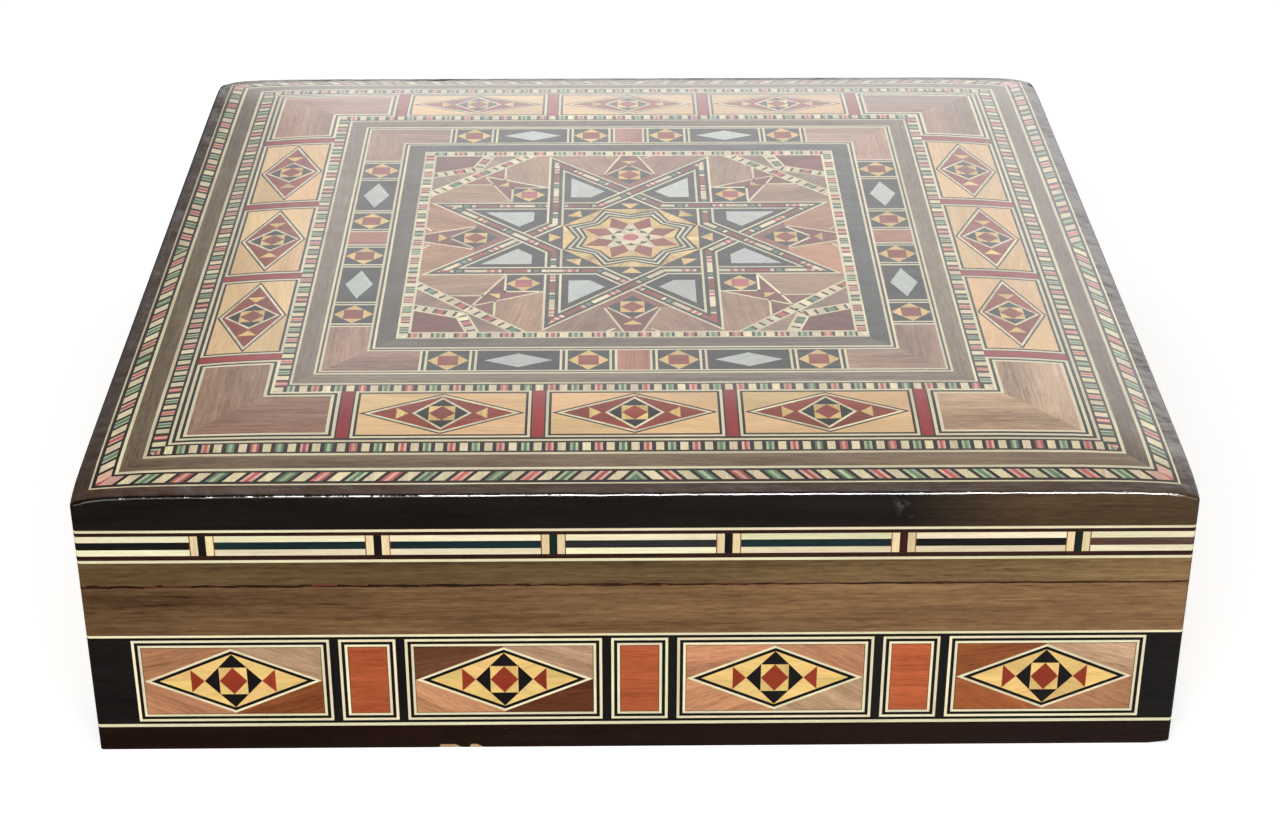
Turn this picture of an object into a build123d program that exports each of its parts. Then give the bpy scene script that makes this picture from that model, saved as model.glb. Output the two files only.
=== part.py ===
"""Square wooden box with a hinged lid, covered all round with inlaid banding and marquetry.

Origin: centre of the underside. +Z up, the front faces -Y, the hinges are at the back (+Y). Millimetres.
"""
from build123d import *
import math
import os

# ---------------------------------------------------------------- driving dimensions
half = 125.0  # half the outer width and depth
edge_top = 68.5  # height of the lid's outer top edge
crown = 4.2  # rise of the lid's flat middle above that edge
crown_flat = 80.0  # half size of the flat middle; outside it the top curves down to the edge
veneer = 1.5  # thickness of all banding and marquetry
wall = 9.0  # thickness of the carcass walls
felt_thickness = 0.8
felt_margin = 1.0  # between the felt and the carcass edge
felt_corner_radius = 2.0
floor_thickness = 5.0
seam = 45.0  # parting height between base and lid
seam_gap = 0.2
ceiling = 60.0  # underside of the lid's top board
lining_thickness = 1.4
lining_clearance = 0.1
rim_setback = 1.5  # from the rims to the edges of the lining
glue = 0.05  # glue line between neighbours in one group
line_frame = 2.2  # ivory, dark and ivory lines round a panel
top_line_frame = 1.65  # ivory and dark lines round a panel on the top
overrun = 1.0  # how far cutting shapes run past the work
quarter_turns = 4
eighth_turns = 8

carcass = half - veneer
inside = carcass - wall
flat_top = edge_top + crown
base_rim = seam - seam_gap / 2
lid_rim = seam + seam_gap / 2

# Heights on the four sides
foot_top = 6.4
foot_line_top = 7.2
mosaic_top = 31.2
mosaic_line_top = 31.8
skirt_top = 51.3
bar_line_bottom = 52.3
bar_line_top = 59.2
edge_moulding_bottom = 59.8

# Mosaic round the base
mosaic_pitch = 31.3
panel_width = 45.0
panel_height = 22.5
block_width = 13.0
lozenge_half = (19.4, 8.6)

# Bar banding round the lid
bar_pitch = 39.1
bar_divider = 1.4
bar_height = 5.4
bar_slot = 1.4
bar_border = 1.7

# Square rings on the top, as half sizes
rope_ring = (121.2, 115.4)
outer_walnut_ring = (115.4, 110.8)
check_ring = (110.8, 104.3)
panel_ring = (104.3, 84.3)
inner_check_ring = (84.3, 80.4)
inner_walnut_ring = (80.4, 75.9)
pearl_ring = (74.2, 64.2)
dark_frame_ring = (62.4, 57.2)
fine_check_ring = (57.2, 54.3)
field = 54.3

# Panel ring on the top
divider_width = 3.5
divider_pitch = 44.45
top_lozenge_half = (18.7, 8.2)

# Pearl ring on the top, as distances from the middle of a side
padauk_half = 3.9
spacer = 1.9
tile = 10.0
pearl_ground_length = 19.8
pearl_lozenge_half = (8.1, 3.5)
rosette_half = 4.9

# Star field
strap_outer = 22.4  # distance of a strap's outer edge from the centre
strap_inner = 17.9
pearl_inset = (1.8, 3.4)  # ebony margin along a kite's long and short sides
rosette_point = 19.1
rosette_notch = 14.6
axis_rosette_centre = 40.9
axis_rosette_half = 6.0
corner_rosette = (23.4, 32.6)
corner_band = (79.5, 84.3)

# Hinges
hinge_axis_y = half - 3.0
hinge_spacing = 140.0
hinge_length = 25.0
hinge_knuckles = 5
knuckle_radius = 2.0
knuckle_clearance = 0.1
pin_radius = 0.75
pin_clearance = 0.05
pin_seat_clearance = 0.01
leaf_thickness = 1.0
leaf_sink = 0.1  # leaves lie this much below the rims
leaf_edge_y = inside + 1.0
leaf_root_y = hinge_axis_y - knuckle_radius - 0.4
pin_chamfer = 0.15
barrel_relief = 2.3
recess_clearance = 0.2  # beyond each end of a hinge
stop_bevel = 50.5  # degrees between the seam and the bevel of each rear edge
screw_radius = 0.8
screw_head_radius = 1.5
screw_length = 7.0
screw_pitch = 8.0
screw_slot = 0.4

os.makedirs("parts", exist_ok=True)


def finish(piece, name):
    """Labels a finished piece and writes it."""
    piece.part.label = name
    export_step(piece.part, f"parts/{name}.step")


def polar(radius, degrees):
    """The point at this radius and angle from the centre."""
    return (radius * math.cos(math.radians(degrees)), radius * math.sin(math.radians(degrees)))


def side_plane(turn):
    """A carcass side's face: local x runs along the side, local y is height, and the normal points out."""
    x_dir = (*polar(1, turn), 0)
    outward = (*polar(1, turn - 90), 0)
    return Plane(origin=(0, 0, 0), x_dir=x_dir, z_dir=outward).offset(carcass)


sides = [side_plane(90 * turn) for turn in range(quarter_turns)]


# ---------------------------------------------------------------- shared outlines
def mitred_outlines(outer, inner):
    """Four strips round a square, mitred at its corners."""
    with PolarLocations(0, quarter_turns):
        Polygon(
            (-outer + glue, -outer),
            (outer - glue, -outer),
            (inner - glue, -inner),
            (-inner + glue, -inner),
        )


def lozenge(half_length, half_width, mode=Mode.ADD):
    """A lozenge with its long diagonal along local x."""
    corners = ((-half_length, 0), (0, -half_width), (half_length, 0), (0, half_width))
    Polygon(*corners, mode=mode)


def ring_places(offsets, ring):
    """One place on each side for each offset, in the middle of a ring of this outer and inner half size."""
    middle = sum(ring) / 2
    places = []
    for turn in range(quarter_turns):
        for offset in offsets:
            spot = Vector(offset, -middle).rotate(Axis.Z, 90 * turn)
            places.append(Location((spot.X, spot.Y), 90 * turn))
    return places


# ---------------------------------------------------------------- shared solids
def crowned_block(lower, bottom):
    """Everything under the crown, lowered by this much. It falls away the same on all four sides."""
    rise = flat_top - lower
    fall = edge_top - lower
    radius = ((half - crown_flat) ** 2 + crown**2) / (2 * crown)
    with BuildPart() as block:
        for plane, mode in ((Plane.XZ, Mode.ADD), (Plane.YZ, Mode.INTERSECT)):
            with BuildSketch(plane):
                with BuildLine():
                    Line((-half, bottom), (half, bottom))
                    Line((half, bottom), (half, fall))
                    RadiusArc((half, fall), (crown_flat, rise), -radius)
                    Line((crown_flat, rise), (-crown_flat, rise))
                    RadiusArc((-crown_flat, rise), (-half, fall), -radius)
                    Line((-half, fall), (-half, bottom))
                make_face()
            extrude(amount=half, both=True, mode=mode)
    return block


def square_strips(outer, inner, levels):
    """Mitred strips round the box between each pair of heights."""
    with BuildPart() as strips:
        for bottom, top in levels:
            with BuildSketch(Plane.XY.offset(bottom)):
                mitred_outlines(outer, inner)
            extrude(amount=top - bottom)
    return strips


under_crown = crowned_block(0, seam)
board_block = crowned_block(veneer, ceiling)

# The veneer layer on the lid, between the board and the finished surface
with BuildPart() as top_layer:
    add(under_crown.part)
    add(board_block.part, mode=Mode.SUBTRACT)

# The V-groove along the rear edges, which clears the knuckles and stops the lid
groove_reach = half + overrun - hinge_axis_y
groove_rise = groove_reach * math.tan(math.radians(stop_bevel))
with BuildPart() as stop_groove:
    with BuildSketch(Plane.YZ):
        Polygon(
            (hinge_axis_y, seam),
            (hinge_axis_y + groove_reach, seam + groove_rise),
            (hinge_axis_y + groove_reach, seam - groove_rise),
        )
    extrude(amount=half + overrun, both=True)


def top_piece(draw):
    """Marquetry on the lid: the drawn outlines, as thick as the veneer and following the crown."""
    with BuildPart() as piece:
        with BuildSketch(Plane.XY.offset(ceiling)):
            draw()
        extrude(amount=flat_top - ceiling + overrun)
        add(top_layer.part, mode=Mode.INTERSECT)
    return piece


def flat_piece(draw):
    """Marquetry inside the flat middle of the lid."""
    with BuildPart() as piece:
        with BuildSketch(Plane.XY.offset(flat_top - veneer)):
            draw()
        extrude(amount=veneer)
    return piece


def side_piece(draw):
    """Mosaic on all four sides, as thick as the veneer."""
    with BuildPart() as piece:
        with BuildSketch(*sides):
            draw()
        extrude(amount=veneer)
    return piece


# ---------------------------------------------------------------- hinges
hinge_places = [-hinge_spacing / 2, hinge_spacing / 2]
knuckle_length = hinge_length / hinge_knuckles
base_knuckles = range(0, hinge_knuckles, 2)
lid_knuckles = range(1, hinge_knuckles, 2)
screw_y = (leaf_edge_y + leaf_root_y) / 2
leaf_gap = seam_gap / 2 + leaf_sink
screw_spots = [
    (place + shift, screw_y) for place in hinge_places for shift in (-screw_pitch, 0, screw_pitch)
]


def hinge_leaves(knuckles, side, bore):
    """Both leaves of one body: side is -1 for the base and 1 for the lid."""
    near = seam + side * leaf_gap
    low = min(near, near + side * leaf_thickness)
    with BuildPart() as leaves:
        for place in hinge_places:
            with BuildSketch(Plane.XY.offset(low)):
                with Locations((place, (leaf_edge_y + leaf_root_y) / 2)):
                    Rectangle(hinge_length, leaf_root_y - leaf_edge_y)
                for knuckle in knuckles:
                    middle = place - hinge_length / 2 + (knuckle + 0.5) * knuckle_length
                    with Locations((middle, (leaf_root_y + hinge_axis_y) / 2)):
                        Rectangle(knuckle_length - 2 * knuckle_clearance, hinge_axis_y - leaf_root_y)
            extrude(amount=leaf_thickness)
            for knuckle in knuckles:
                start = place - hinge_length / 2 + knuckle * knuckle_length + knuckle_clearance
                with BuildSketch(Plane.YZ.offset(start)):
                    with Locations((hinge_axis_y, seam)):
                        Circle(knuckle_radius)
                extrude(amount=knuckle_length - 2 * knuckle_clearance)
            with BuildSketch(Plane.YZ.offset(place - hinge_length / 2)):
                with Locations((hinge_axis_y, seam)):
                    Circle(bore)
            extrude(amount=hinge_length, mode=Mode.SUBTRACT)
        with Locations(Plane(origin=(0, 0, near), x_dir=(1, 0, 0), z_dir=(0, 0, -side))):
            with Locations(*[(x, -side * y) for x, y in screw_spots]):
                CounterSinkHole(screw_radius, screw_head_radius, counter_sink_angle=90)
    return leaves


def hinge_screws(side):
    """Countersunk slotted wood screws: side is -1 for the base and 1 for the lid."""
    near = seam + side * leaf_gap
    cone = screw_head_radius - screw_radius
    with BuildPart() as screws:
        for x, y in screw_spots:
            with BuildSketch(Plane.XZ.offset(-y)):
                Polygon(
                    (x, near),
                    (x + screw_head_radius, near),
                    (x + screw_radius, near + side * cone),
                    (x + screw_radius, near + side * (screw_length - screw_radius)),
                    (x, near + side * screw_length),
                )
            revolve(axis=Axis((x, y, 0), (0, 0, 1)))
        with Locations(*[(x, y, near) for x, y in screw_spots]):
            Box(2 * screw_head_radius, screw_slot, 2 * screw_slot, mode=Mode.SUBTRACT)
    return screws


hinge_base_leaves = hinge_leaves(base_knuckles, -1, pin_radius + pin_seat_clearance)
hinge_lid_leaves = hinge_leaves(lid_knuckles, 1, pin_radius + pin_clearance)
hinge_base_screws = hinge_screws(-1)
hinge_lid_screws = hinge_screws(1)

with BuildPart() as hinge_pins:
    for place in hinge_places:
        with BuildSketch(Plane.YZ.offset(place - hinge_length / 2)):
            with Locations((hinge_axis_y, seam)):
                Circle(pin_radius)
        extrude(amount=hinge_length)
    chamfer(hinge_pins.edges().filter_by(GeomType.CIRCLE), pin_chamfer)

# Room for the leaves, barrels and screws in the two rear walls
with BuildPart() as hinge_recess:
    for place in hinge_places:
        with BuildSketch(Plane.YZ.offset(place - hinge_length / 2 - recess_clearance)):
            with Locations((hinge_axis_y, seam)):
                Circle(barrel_relief)
            with Locations(((leaf_edge_y + hinge_axis_y) / 2, seam)):
                Rectangle(hinge_axis_y - leaf_edge_y, 2 * (leaf_gap + leaf_thickness))
        extrude(amount=hinge_length + 2 * recess_clearance)
    with BuildSketch(Plane.XY.offset(seam - leaf_gap - screw_length)):
        with Locations(*screw_spots):
            Circle(screw_radius)
    extrude(amount=2 * (leaf_gap + screw_length))

finish(hinge_base_leaves, "hinge_base_leaves")
finish(hinge_lid_leaves, "hinge_lid_leaves")
finish(hinge_pins, "hinge_pins")
finish(hinge_base_screws, "hinge_base_screws")
finish(hinge_lid_screws, "hinge_lid_screws")


# ---------------------------------------------------------------- carcass walls
def carcass_wall(name, bottom, top, across):
    """One wall of the base or lid. Front and back walls run the full width, side walls fit between them."""
    long_half = carcass if name in ("front", "back") else inside
    centre = carcass - wall / 2
    x, y = {"front": (0, -centre), "back": (0, centre), "left": (-centre, 0), "right": (centre, 0)}[name]
    size = (2 * long_half, wall) if across else (wall, 2 * long_half)
    with BuildPart() as piece:
        with BuildSketch(Plane.XY.offset(bottom)):
            with Locations((x, y)):
                Rectangle(*size)
        extrude(amount=top - bottom)
        if name == "back":
            add(hinge_recess.part, mode=Mode.SUBTRACT)
        if name != "front":
            add(stop_groove.part, mode=Mode.SUBTRACT)
    return piece


for side_name in ("front", "back", "left", "right"):
    runs_across = side_name in ("front", "back")
    base_wall = carcass_wall(side_name, felt_thickness, base_rim, runs_across)
    lid_wall = carcass_wall(side_name, lid_rim, ceiling, runs_across)
    finish(base_wall, f"base_{side_name}_wall")
    finish(lid_wall, f"lid_{side_name}_wall")

with BuildPart() as base_floor_panel:
    with BuildSketch(Plane.XY.offset(felt_thickness)):
        Rectangle(2 * inside, 2 * inside)
    extrude(amount=floor_thickness)
finish(base_floor_panel, "base_floor_panel")

with BuildPart() as lid_top_board:
    with BuildSketch(Plane.XY.offset(ceiling)):
        Rectangle(2 * carcass, 2 * carcass)
    extrude(amount=flat_top - ceiling)
    add(board_block.part, mode=Mode.INTERSECT)
finish(lid_top_board, "lid_top_board")

# ---------------------------------------------------------------- linings
floor_top = felt_thickness + floor_thickness
lining_outer = inside - lining_clearance
lining_inner = lining_outer - lining_thickness
floor_pad = floor_top + lining_clearance
ceiling_pad = ceiling - lining_clearance - lining_thickness

with BuildPart() as base_felt:
    with BuildSketch():
        RectangleRounded(2 * (carcass - felt_margin), 2 * (carcass - felt_margin), felt_corner_radius)
    extrude(amount=felt_thickness - glue)
finish(base_felt, "base_felt")


def velvet_lining(pad_bottom, wall_bottom, wall_top):
    """A pad across the floor or ceiling and four pads along the walls, all clear of each other."""
    with BuildPart() as lining:
        with BuildSketch(Plane.XY.offset(pad_bottom)):
            Rectangle(2 * lining_outer, 2 * lining_outer)
        extrude(amount=lining_thickness)
        with BuildSketch(Plane.XY.offset(wall_bottom)):
            mitred_outlines(lining_outer, lining_inner)
        extrude(amount=wall_top - wall_bottom)
    return lining


base_velvet_lining = velvet_lining(
    floor_pad, floor_pad + lining_thickness + lining_clearance, base_rim - rim_setback
)
lid_velvet_lining = velvet_lining(ceiling_pad, lid_rim + rim_setback, ceiling_pad - lining_clearance)
finish(base_velvet_lining, "base_velvet_lining")
finish(lid_velvet_lining, "lid_velvet_lining")


# ---------------------------------------------------------------- bands on the base's sides
def bevelled(strips):
    """The same strips with the rear V-groove cut out of them."""
    with BuildPart() as piece:
        add(strips.part)
        add(stop_groove.part, mode=Mode.SUBTRACT)
    return piece


base_foot_strips = square_strips(half, carcass, [(0, foot_top)])
base_stringing = square_strips(half, carcass, [(foot_top, foot_line_top), (mosaic_top, mosaic_line_top)])
base_walnut_bands = bevelled(square_strips(half, carcass, [(mosaic_line_top, base_rim)]))
finish(base_foot_strips, "base_foot_strips")
finish(base_stringing, "base_stringing")
finish(base_walnut_bands, "base_walnut_bands")

mosaic_middle = (foot_line_top + mosaic_top) / 2
panel_spots = [(step * mosaic_pitch, mosaic_middle) for step in (-3, -1, 1, 3)]
block_spots = [(step * mosaic_pitch, mosaic_middle) for step in (-2, 0, 2)]
inner_panel = (panel_width - 2 * line_frame, panel_height - 2 * line_frame)
inner_block = (block_width - 2 * line_frame, panel_height - 2 * line_frame)


def panel_outlines():
    with Locations(*panel_spots):
        Rectangle(panel_width, panel_height)
    with Locations(*block_spots):
        Rectangle(block_width, panel_height)


def panel_openings(mode):
    with Locations(*panel_spots):
        Rectangle(*inner_panel, mode=mode)
    with Locations(*block_spots):
        Rectangle(*inner_block, mode=mode)


def draw_side_frames():
    panel_outlines()
    panel_openings(Mode.SUBTRACT)


def draw_side_spandrels():
    """Four separate pieces fill the corners round each lozenge."""
    with Locations(*panel_spots):
        Rectangle(*inner_panel)
        lozenge(*lozenge_half, mode=Mode.SUBTRACT)
        Rectangle(panel_width, glue, mode=Mode.SUBTRACT)
        Rectangle(glue, panel_height, mode=Mode.SUBTRACT)


def draw_side_lozenges():
    with Locations(*panel_spots):
        lozenge(*lozenge_half)


def draw_side_blocks():
    with Locations(*block_spots):
        Rectangle(*inner_block)


with BuildPart() as base_ebony_ground:
    with BuildSketch(Plane.XY.offset(foot_line_top)):
        mitred_outlines(half, carcass)
    extrude(amount=mosaic_top - foot_line_top)
    with BuildSketch(*sides):
        panel_outlines()
    extrude(amount=veneer, mode=Mode.SUBTRACT)

finish(base_ebony_ground, "base_ebony_ground")
finish(side_piece(draw_side_frames), "base_panel_frames")
finish(side_piece(draw_side_spandrels), "base_panel_spandrels")
finish(side_piece(draw_side_lozenges), "base_panel_lozenges")
finish(side_piece(draw_side_blocks), "base_padauk_blocks")

# ---------------------------------------------------------------- bands on the lid's sides
lid_walnut_bands = bevelled(square_strips(half, carcass, [(lid_rim, skirt_top)]))
lid_side_stringing = square_strips(
    half, carcass, [(skirt_top, bar_line_bottom), (bar_line_top, edge_moulding_bottom)]
)
finish(lid_walnut_bands, "lid_walnut_bands")
finish(lid_side_stringing, "lid_side_stringing")

bar_middle = (bar_line_bottom + bar_line_top) / 2
bar_spots = [(step * bar_pitch, bar_middle) for step in (-2, -1, 0, 1, 2)]
bar_length = bar_pitch - bar_divider
end_bar_start = 2.5 * bar_pitch + bar_divider / 2
end_bar_length = carcass - end_bar_start


def bar_outlines():
    with Locations(*bar_spots):
        Rectangle(bar_length, bar_height)
    for hand in (-1, 1):
        with Locations((hand * (end_bar_start + end_bar_length / 2), bar_middle)):
            Rectangle(end_bar_length, bar_height)


def draw_bar_frames():
    bar_outlines()
    with Locations(*bar_spots):
        Rectangle(bar_length - 2 * bar_border, bar_slot, mode=Mode.SUBTRACT)
    for hand in (-1, 1):
        with Locations((hand * (end_bar_start + end_bar_length / 2), bar_middle)):
            Rectangle(end_bar_length - 2 * bar_border, bar_slot, mode=Mode.SUBTRACT)


bar_frames = side_piece(draw_bar_frames)
with BuildPart() as lid_bar_ground:
    with BuildSketch(Plane.XY.offset(bar_line_bottom)):
        mitred_outlines(half, carcass)
    extrude(amount=bar_line_top - bar_line_bottom)
    add(bar_frames.part, mode=Mode.SUBTRACT)
finish(bar_frames, "lid_bar_frames")
finish(lid_bar_ground, "lid_bar_ground")

with BuildPart() as lid_edge_mouldings:
    with BuildSketch(Plane.XY.offset(edge_moulding_bottom)):
        mitred_outlines(half, rope_ring[0])
    extrude(amount=flat_top - edge_moulding_bottom)
    add(under_crown.part, mode=Mode.INTERSECT)
    with BuildSketch(Plane.XY.offset(edge_moulding_bottom)):
        Rectangle(2 * carcass, 2 * carcass)
    extrude(amount=ceiling - edge_moulding_bottom, mode=Mode.SUBTRACT)
    add(lid_top_board.part, mode=Mode.SUBTRACT)
finish(lid_edge_mouldings, "lid_edge_mouldings")


# ---------------------------------------------------------------- outer rings of the top
for ring_name, ring_size in (
    ("top_rope_banding", rope_ring),
    ("top_outer_walnut_band", outer_walnut_ring),
    ("top_check_banding", check_ring),
    ("top_inner_check_banding", inner_check_ring),
):
    finish(top_piece(lambda: mitred_outlines(*ring_size)), ring_name)

panel_depth = panel_ring[0] - panel_ring[1]
top_panel_width = divider_pitch - divider_width
top_panel_inner = (top_panel_width - 2 * top_line_frame, panel_depth - 2 * top_line_frame)
top_panel_places = ring_places((-divider_pitch, 0, divider_pitch), panel_ring)
divider_places = ring_places([step * divider_pitch for step in (-1.5, -0.5, 0.5, 1.5)], panel_ring)
corner_start = 1.5 * divider_pitch + divider_width / 2


def draw_top_dividers():
    with Locations(*divider_places):
        Rectangle(divider_width, panel_depth)


def draw_top_frames():
    with Locations(*top_panel_places):
        Rectangle(top_panel_width, panel_depth)
        Rectangle(*top_panel_inner, mode=Mode.SUBTRACT)


def draw_top_grounds():
    with Locations(*top_panel_places):
        Rectangle(*top_panel_inner)
        lozenge(*top_lozenge_half, mode=Mode.SUBTRACT)


def draw_top_lozenges():
    with Locations(*top_panel_places):
        lozenge(*top_lozenge_half)


def corner_outline(inset, mode=Mode.ADD):
    """The L round each corner of the panel ring, drawn in by inset."""
    outer = panel_ring[0] - inset
    inner = panel_ring[1] + inset
    start = corner_start + inset
    with PolarLocations(0, quarter_turns):
        Polygon(
            (start, outer),
            (outer, outer),
            (outer, start),
            (inner, start),
            (inner, inner),
            (start, inner),
            mode=mode,
        )


def draw_corner_lines():
    corner_outline(0)
    corner_outline(line_frame, mode=Mode.SUBTRACT)


def draw_corner_blocks():
    """Each L is two pieces, mitred on the diagonal."""
    corner_outline(line_frame)
    for turn in (45, 135):
        with Locations(Location((0, 0), turn)):
            Rectangle(4 * half, 2 * glue, mode=Mode.SUBTRACT)


finish(top_piece(draw_top_dividers), "top_red_dividers")
finish(top_piece(draw_top_frames), "top_panel_frames")
finish(top_piece(draw_top_grounds), "top_panel_grounds")
finish(top_piece(draw_top_lozenges), "top_panel_lozenges")
finish(top_piece(draw_corner_lines), "top_corner_stringing")
finish(top_piece(draw_corner_blocks), "top_corner_blocks")

# ---------------------------------------------------------------- pearl ring of the top
first_tile = padauk_half + spacer + tile / 2
pearl_centre = first_tile + tile / 2 + spacer + pearl_ground_length / 2
second_tile = pearl_centre + pearl_ground_length / 2 + spacer + tile / 2
corner_wood_start = second_tile + tile / 2 + spacer
tile_places = ring_places([s * t for s in (-1, 1) for t in (first_tile, second_tile)], pearl_ring)
pearl_places = ring_places((-pearl_centre, pearl_centre), pearl_ring)
spacer_offsets = [
    padauk_half + spacer / 2,
    first_tile + tile / 2 + spacer / 2,
    pearl_centre + pearl_ground_length / 2 + spacer / 2,
    second_tile + tile / 2 + spacer / 2,
]


def draw_pearl_stringing():
    mitred_outlines(inner_walnut_ring[1], pearl_ring[0])
    mitred_outlines(pearl_ring[1], dark_frame_ring[0])
    with Locations(*ring_places([s * x for s in (-1, 1) for x in spacer_offsets], pearl_ring)):
        Rectangle(spacer, tile)


def draw_padauk_blocks():
    with Locations(*ring_places((0,), pearl_ring)):
        Rectangle(2 * padauk_half, tile)


def draw_tile_grounds():
    with Locations(*tile_places):
        Rectangle(tile, tile)
        lozenge(rosette_half, rosette_half, mode=Mode.SUBTRACT)
    with Locations(*pearl_places):
        Rectangle(pearl_ground_length, tile)
        lozenge(*pearl_lozenge_half, mode=Mode.SUBTRACT)


def draw_tile_rosettes():
    with Locations(*tile_places):
        lozenge(rosette_half, rosette_half)


def draw_pearl_lozenges():
    with Locations(*pearl_places):
        lozenge(*pearl_lozenge_half)


def draw_walnut_corners():
    with PolarLocations(0, quarter_turns):
        for hand in (-1, 1):
            Polygon(
                (hand * corner_wood_start, -pearl_ring[0]),
                (hand * (pearl_ring[0] - glue), -pearl_ring[0]),
                (hand * (pearl_ring[1] - glue), -pearl_ring[1]),
                (hand * corner_wood_start, -pearl_ring[1]),
            )


finish(flat_piece(lambda: mitred_outlines(*inner_walnut_ring)), "top_inner_walnut_band")
finish(flat_piece(draw_pearl_stringing), "top_pearl_stringing")
finish(flat_piece(draw_padauk_blocks), "top_padauk_blocks")
finish(flat_piece(draw_tile_grounds), "top_ebony_tiles")
finish(flat_piece(draw_tile_rosettes), "top_tile_rosettes")
finish(flat_piece(draw_pearl_lozenges), "top_pearl_lozenges")
finish(flat_piece(draw_walnut_corners), "top_walnut_corners")
finish(flat_piece(lambda: mitred_outlines(*dark_frame_ring)), "top_dark_frame")
finish(flat_piece(lambda: mitred_outlines(*fine_check_ring)), "top_fine_check_banding")

# ---------------------------------------------------------------- star field
eighth = 45
bend_factor = 1 / math.cos(math.radians(eighth / 2))
cross_factor = 1 / math.cos(math.radians(eighth))


def cut_point(first_line, first_distance, second_line, second_distance):
    """Where two lines meet, each given by the direction of its normal in degrees and its distance."""
    a, b = polar(1, first_line)
    c, d = polar(1, second_line)
    determinant = a * d - b * c
    x = (first_distance * d - b * second_distance) / determinant
    y = (a * second_distance - first_distance * c) / determinant
    return (x, y)


def draw_straps():
    """Each strap comes in from one tip over its neighbour, bends, passes under the next and ends at a tip."""
    with PolarLocations(0, eighth_turns):
        Polygon(
            cut_point(-90, strap_outer, 135, strap_outer),
            cut_point(-90, strap_outer, -135, strap_outer),
            cut_point(-45, strap_inner - glue, -135, strap_outer),
            cut_point(-45, strap_inner - glue, -135, strap_inner),
            cut_point(-90, strap_inner, -135, strap_inner),
            cut_point(-90, strap_inner, 135, strap_inner),
        )
        Polygon(
            cut_point(-45, strap_outer + glue, -135, strap_outer),
            cut_point(0, strap_outer - glue, -135, strap_outer),
            cut_point(0, strap_inner - glue, -135, strap_inner),
            cut_point(-45, strap_outer + glue, -135, strap_inner),
        )


def kite(long_inset, short_inset, mode=Mode.ADD):
    """The ebony ground inside each arm, drawn in from its long and short sides."""
    long_line = strap_inner - long_inset
    short_line = strap_outer + short_inset
    with PolarLocations(0, eighth_turns):
        Polygon(
            cut_point(-90, long_line, 135, long_line),
            cut_point(-90, long_line, 180, short_line),
            cut_point(180, short_line, -135, short_line),
            cut_point(135, long_line, -135, short_line),
            mode=mode,
        )


def rosette_outline(mode=Mode.ADD):
    points = []
    for step in range(eighth_turns):
        points.append(polar(rosette_notch, step * eighth))
        points.append(polar(rosette_point, (step + 0.5) * eighth))
    Polygon(*points, mode=mode)


def draw_kite_grounds():
    kite(0, 0)
    kite(*pearl_inset, mode=Mode.SUBTRACT)


def draw_centre_ground():
    points = []
    for step in range(eighth_turns):
        points.append(polar(strap_inner * cross_factor, step * eighth))
        points.append(polar(strap_inner * bend_factor, (step + 0.5) * eighth))
    Polygon(*points)
    rosette_outline(mode=Mode.SUBTRACT)


def axis_rosette(mode=Mode.ADD):
    with PolarLocations(axis_rosette_centre, quarter_turns):
        lozenge(axis_rosette_half, axis_rosette_half, mode=mode)


def corner_rosettes(mode=Mode.ADD):
    near, far = corner_rosette
    with PolarLocations(0, quarter_turns):
        Polygon((near, near), (far, near), (far, far), (near, far), mode=mode)


def corner_bands(mode=Mode.ADD):
    near, far = corner_band
    with PolarLocations(0, quarter_turns):
        Polygon(
            (near - field, field),
            (far - field, field),
            (field, far - field),
            (field, near - field),
            mode=mode,
        )


def draw_axis_segments():
    crossing = strap_outer * cross_factor
    tips = crossing + strap_outer
    with PolarLocations(0, quarter_turns):
        Polygon(
            (crossing, 0),
            (tips, strap_outer),
            (field, strap_outer),
            (field, -strap_outer),
            (tips, -strap_outer),
        )
    axis_rosette(mode=Mode.SUBTRACT)


def draw_corner_segments():
    with PolarLocations(0, quarter_turns):
        Polygon((strap_outer, strap_outer), (field, strap_outer), (field, field), (strap_outer, field))
    corner_rosettes(mode=Mode.SUBTRACT)
    corner_bands(mode=Mode.SUBTRACT)


def draw_field_rosettes():
    axis_rosette()
    corner_rosettes()


finish(flat_piece(draw_straps), "star_straps")
finish(flat_piece(draw_kite_grounds), "star_ebony_kites")
finish(flat_piece(lambda: kite(*pearl_inset)), "star_pearl_kites")
finish(flat_piece(draw_centre_ground), "star_centre_ground")
finish(flat_piece(rosette_outline), "star_centre_rosette")
finish(flat_piece(draw_axis_segments), "field_axis_segments")
finish(flat_piece(draw_corner_segments), "field_corner_segments")
finish(flat_piece(corner_bands), "field_corner_bandings")
finish(flat_piece(draw_field_rosettes), "field_rosettes")
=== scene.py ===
"""Looks of the inlaid wooden box: every band, panel and star piece is laid as its own small solid."""
import math
import random

import bmesh
import bpy
from mathutils import Matrix, Vector


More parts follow.
